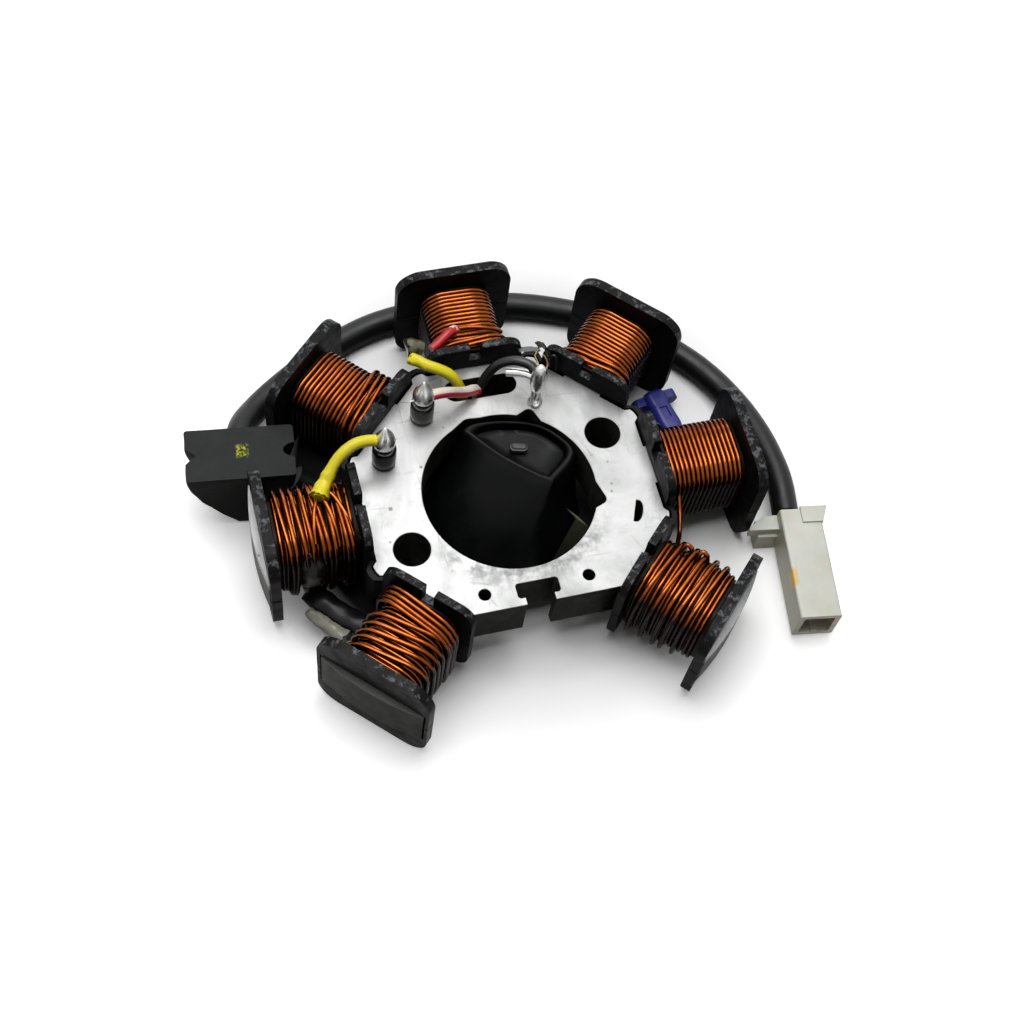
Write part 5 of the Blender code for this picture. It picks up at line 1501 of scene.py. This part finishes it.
def show_scraps():
    """Torn tape, a bit of sleeve and loose wires at the edge of the hub, as the photograph shows."""
    tape = crumpled(plate_points(TAPE), 1.5 * MM, 0.35 * MM, 3, 0.45 * MM)
    add("torn_tape", tape, "glue", (), "black_lead", angle=30.0)
    tab = crumpled(plate_points(TAPE_TAB), 0.9 * MM, 0.5 * MM, 5, 0.2 * MM)
    add("tape_tab", tab, "worn", (), "black_lead", angle=30.0)
    scrap = torn_sleeve(plate_points(OLIVE_SLEEVE), 1.15 * MM, 0.5 * MM, 9)
    add("olive_sleeve", scrap, "olive", (), "yellow_lead", angle=60.0)
    beige = torn_sleeve(plate_points(PALE_SLEEVE), 1.3 * MM, 0.25 * MM, 2)
    add("pale_sleeve_below", beige, "pale", (), "white_lead", angle=60.0)
    for number, points in enumerate(GOLD_WIRES, start=1):
        add_lead(f"gold_wire_{number}", plate_points(points), 0.35 * MM, "gold", None, "copper_wire", 8)
    for number, points in enumerate(BLACK_LOOPS, start=1):
        add_lead(f"black_loop_{number}", plate_points(points), 0.55 * MM, "black", None, "black_lead", 8)
    for number, points in enumerate(COPPER_LOOPS, start=1):
        add_lead(f"copper_loop_{number}", plate_points(points), 0.85 * MM, "copper", None, "copper_wire", 8)
    arc = [math.pi * i / 16 for i in range(17)]
    ball = turned_solid([(LUMP[0] * math.sin(angle), -LUMP[1] * math.cos(angle)) for angle in arc])
    spot = AXIS + plate_points([LUMP_SPOT])[0]
    add("varnish_lump", lumpy(ball, 1.3 * MM, 330.0, 7), "glue", (), "copper_wire", spot, 0.0, 60.0)


# Grommet

def grommet_section(left, right, y):
    """U seen from the front, inset by left on its left side and by right on its right side."""
    points = []
    for x in (-1.0, -0.6, -0.2, 0.2, 0.6, 1.0):
        side = left if x < 0 else right
        points.append((x * (GROMMET_WIDTH / 2 - side), y, GROMMET_HEIGHT))
    steps = 16
    for way, side in ((1.0, right), (-1.0, left)):
        row = []
        for i in range(1, steps + 1):
            depth = i / steps
            x = (GROMMET_WIDTH / 2 - side) * (1.0 - depth ** GROMMET_TAPER)
            row.append((way * (x + 1.2 * MM * depth), y, (GROMMET_HEIGHT - side) * (1.0 - depth) + side))
        points += row if way > 0 else reversed(row)
    return points


def grommet_mesh():
    """Rubber block with a groove: a V on the left and a round one on the right."""
    rings = []
    for y, left, right in GROMMET_STATIONS:
        rings.append(grommet_section(left * MM, right * MM, y * MM))
    return lumpy(loft(rings), 0.16 * MM, 420.0, 6)


def show_grommet():
    spot = AXIS + Vector((*GROMMET_SPOT, 0))
    place = (spot, GROMMET_TURN, 32.0)
    return add("grommet", grommet_mesh(), "rubber", "cable_grommet", "grommet_rubber", *place)


# Housings

def lying(mesh):
    """Turn a mesh built up from the housing's mouth so that it lies along Y, mouth forward."""
    mesh.transform(Matrix.Rotation(math.radians(-90.0), 4, "X"))
    mesh.transform(Matrix.Translation((0, -HOUSING_LENGTH, HOUSING_FLOOR + HOUSING_SIZE / 2)))
    return mesh


def housing_mesh():
    """Open-ended housing with a long low wing on the left, a short high one on the right and a foot."""
    size = HOUSING_SIZE
    body = slab(rounded_rectangle(size, size, 0.5 * MM, 3), 0.0, HOUSING_LENGTH)
    inner = size - 2 * HOUSING_WALL
    cavity = slab(rounded_rectangle(inner, inner, 0.4 * MM, 3), -OVERLAP, HOUSING_CAVITY)
    entry = slab(circle((0, 0), 2.1 * MM, 32), HOUSING_LENGTH - 2.0 * MM, HOUSING_LENGTH + OVERLAP)
    shell = lying(combine(body, [("DIFFERENCE", cavity), ("DIFFERENCE", entry)]))
    tools = []
    for outline, low, high in HOUSING_WINGS:
        tools.append(("UNION", slab([(x * MM, y * MM) for x, y in outline], low * MM, high * MM)))
    rib_low = (-0.5 * MM, -HOUSING_LENGTH, HOUSING_FLOOR + 0.4 * MM)
    rib_high = (0.5 * MM, -HOUSING_LENGTH + 7 * MM, 2.6 * MM)
    tools.append(("UNION", box(rib_low, rib_high)))
    return combine(shell, tools)


def terminal_mesh():
    """Crimped blade with a rounded tip and a folded edge, lying in the cavity."""
    half = 0.85 * MM
    back = -12.3 * MM
    tip = back - 3.0 * MM
    wide = tip + 0.5 * MM
    outline = [(-half, back), (-half, wide), (-0.45 * MM, tip), (0.45 * MM, tip), (half, wide), (half, back)]
    middle = HOUSING_FLOOR + HOUSING_SIZE / 2
    blade = slab(outline, middle - 0.3 * MM, middle + 0.05 * MM)
    folds = []
    for side in (-1, 1):
        x = side * (half - 0.18 * MM)
        low = (x - 0.17 * MM, tip + 0.9 * MM, middle - 0.05 * MM)
        high = (x + 0.17 * MM, back, middle + 0.33 * MM)
        folds.append(("UNION", box(low, high)))
    return combine(blade, folds)


def show_housing():
    """The housing and its two blades; gives back the pieces."""
    spot = AXIS + flange_points([HOUSING_END])[0]
    place = (spot, HOUSING_TURN, 30.0)
    body = housing_mesh()
    pieces = [add("housing", body, "nylon", "white_connector", "connector_nylon", *place, 0.28 * MM, 3)]
    for number, side in enumerate((-1, 1), start=1):
        blade = moved(terminal_mesh(), Vector((side * 1.5 * MM, 0, 0)))
        node = f"connector_terminal_{number}"
        pieces.append(add(f"blade_{number}", blade, "terminal", node, "terminal_metal", *place, 0.08 * MM))
    return pieces


def blue_mesh():
    """Small plug body with a waist behind two rounded latch ears."""
    rings = []
    for x, width, height in BLUE_RINGS:
        outline = rounded_rectangle(BLUE_WIDTH * width, BLUE_HEIGHT * height, 1.2 * MM, 5)
        rings.append([(x * MM, a, b) for a, b in outline])
    ear = slab(rounded_rectangle(8.8 * MM, 2.4 * MM, 1.1 * MM, 6), -4.85 * MM, -3.05 * MM, "x")
    mouth = slab(rounded_rectangle(2.2 * MM, 2.6 * MM, 0.5 * MM, 3), -5.6 * MM, -2.0 * MM, "x")
    window = box((-1.2 * MM, -0.7 * MM, 1.9 * MM), (1.2 * MM, 0.7 * MM, 3.0 * MM))
    return combine(loft(rings), [("UNION", ear), ("DIFFERENCE", mouth), ("DIFFERENCE", window)])


def show_blue():
    spot = AXIS + flange_points([BLUE_SPOT])[0] + Vector((0, 0, BLUE_HEIGHT / 2 + 0.1 * MM))
    place = (spot, BLUE_TURN, 30.0)
    return add("blue_plug", blue_mesh(), "blue", "blue_connector", "blue_plastic", *place, 0.2 * MM, 3)


# Cable and thin leads

def show_cords():
    grommet = show_grommet()
    housing = show_housing()
    blue = show_blue()
    thick = CABLE_DIAMETER
    route = floor_points(reversed(STUB))
    stub, path = add_lead("harness_stub_sheath", route, thick, "sheath", "harness_stub", "cable_sheath", 28)
    route = floor_points(CABLE_START) + flange_points(CABLE_ROUND)
    cable, path = add_lead("cable_sheath", route, thick, "sheath", "harness_cable", "cable_sheath", 32)
    route = list(reversed(flange_points(BLUE_LEAD_START) + floor_points(BLUE_LEAD)))
    lead, path = add_lead("blue_lead_wire", route, 1.6 * MM, "blue_lead", "blue_lead", "blue_lead", 12)
    add_lead("pickup_lead_wire", floor_points(PICKUP_LEAD), 1.6 * MM, "black", "pickup_lead", "black_lead")


# Pick-up coil

def round_ring(points, z, steps=4):
    """A closed smooth curve through points in millimetres, at height z."""
    ring = []
    count = len(points)
    for i in range(count):
        before, start, end, after = (Vector(points[(i + k) % count]) for k in (-1, 0, 1, 2))
        for j in range(steps):
            t = j / steps
            pull = 2 * before - 5 * start + 4 * end - after
            bend = 3 * (start - end) + after - before
            point = 0.5 * (2 * start + (end - before) * t + pull * t ** 2 + bend * t ** 3)
            ring.append(Vector((point.x, point.y, z)) * MM)
    return ring


def pickup_mesh():
    """Moulded body: low foot, sides that lean in, a soft ridge and a shallow recess on top."""
    middle = Vector(PICKUP_MIDDLE)
    base = [Vector(point) for point in PICKUP_BASE]
    top = [Vector(point) for point in PICKUP_TOP]
    rings = [round_ring(base, z) for z in (0.1, 1.2, 2.2)]
    for share, height in ((0.03, 2.6), (0.25, 5.6), (0.5, 8.8), (0.75, 12.0), (0.9, 14.0), (0.97, 14.9)):
        rings.append(round_ring([b.lerp(t, share) for b, t in zip(base, top)], height))
    for scale, height in PICKUP_CROWN:
        rings.append(round_ring([middle + (t - middle) * scale for t in top], height))
    return lumpy(loft(rings), 0.12 * MM, 260.0, 4)


def tip_mesh():
    """Pole piece: a stepped oblong with rounded ends."""
    outline = rounded_rectangle(3.2 * MM, 1.7 * MM, 0.8 * MM, 6)
    upper = rounded_rectangle(2.5 * MM, 1.0 * MM, 0.45 * MM, 6)
    low = PICKUP_FLOOR + GAP
    tools = [("UNION", slab(upper, low + 0.8 * MM, low + 1.2 * MM))]
    return combine(slab(outline, low, low + 0.9 * MM), tools)


def bracket_mesh():
    """Bent strip in front of the body, rising to the right, with a turned tab at its top."""
    low = Vector(BRACKET_START) * MM
    high = Vector(BRACKET_END) * MM
    run = (high - low).normalized()
    across = Vector((run.y, -run.x, 0)).normalized() * 1.4 * MM
    up = Vector((0, 0, 0.8 * MM))
    tab = Vector(BRACKET_TAB) * MM
    rings = []
    for point in (low, low.lerp(high, 0.3), low.lerp(high, 0.7), high, high + tab):
        rings.append([point - across, point + across, point + across + up, point - across + up])
    return loft(rings)


def show_pickup():
    add("pickup_moulding", pickup_mesh(), "pickup", "pickup_body", "pickup_plastic", angle=70.0)
    spot = AXIS + Vector((*TIP_SPOT, 0))
    add("pickup_tip", tip_mesh(), "pole_tip", "pickup_pole_tip", "tip_metal", spot, TIP_TURN, 30.0, 0.12 * MM)
    strip = bracket_mesh()
    add("pickup_strip", strip, "bracket", "pickup_bracket", "bracket_steel", angle=30.0, bevel=0.15 * MM)


add_camera()
show_cords()
add_world()
add_lights()
add_floor()
show_core()
show_insulators()
show_coils()
show_terminals()
show_leads()
show_scraps()
show_dark_mass()
show_pickup()

bpy.context.scene.view_settings.view_transform = "Standard"
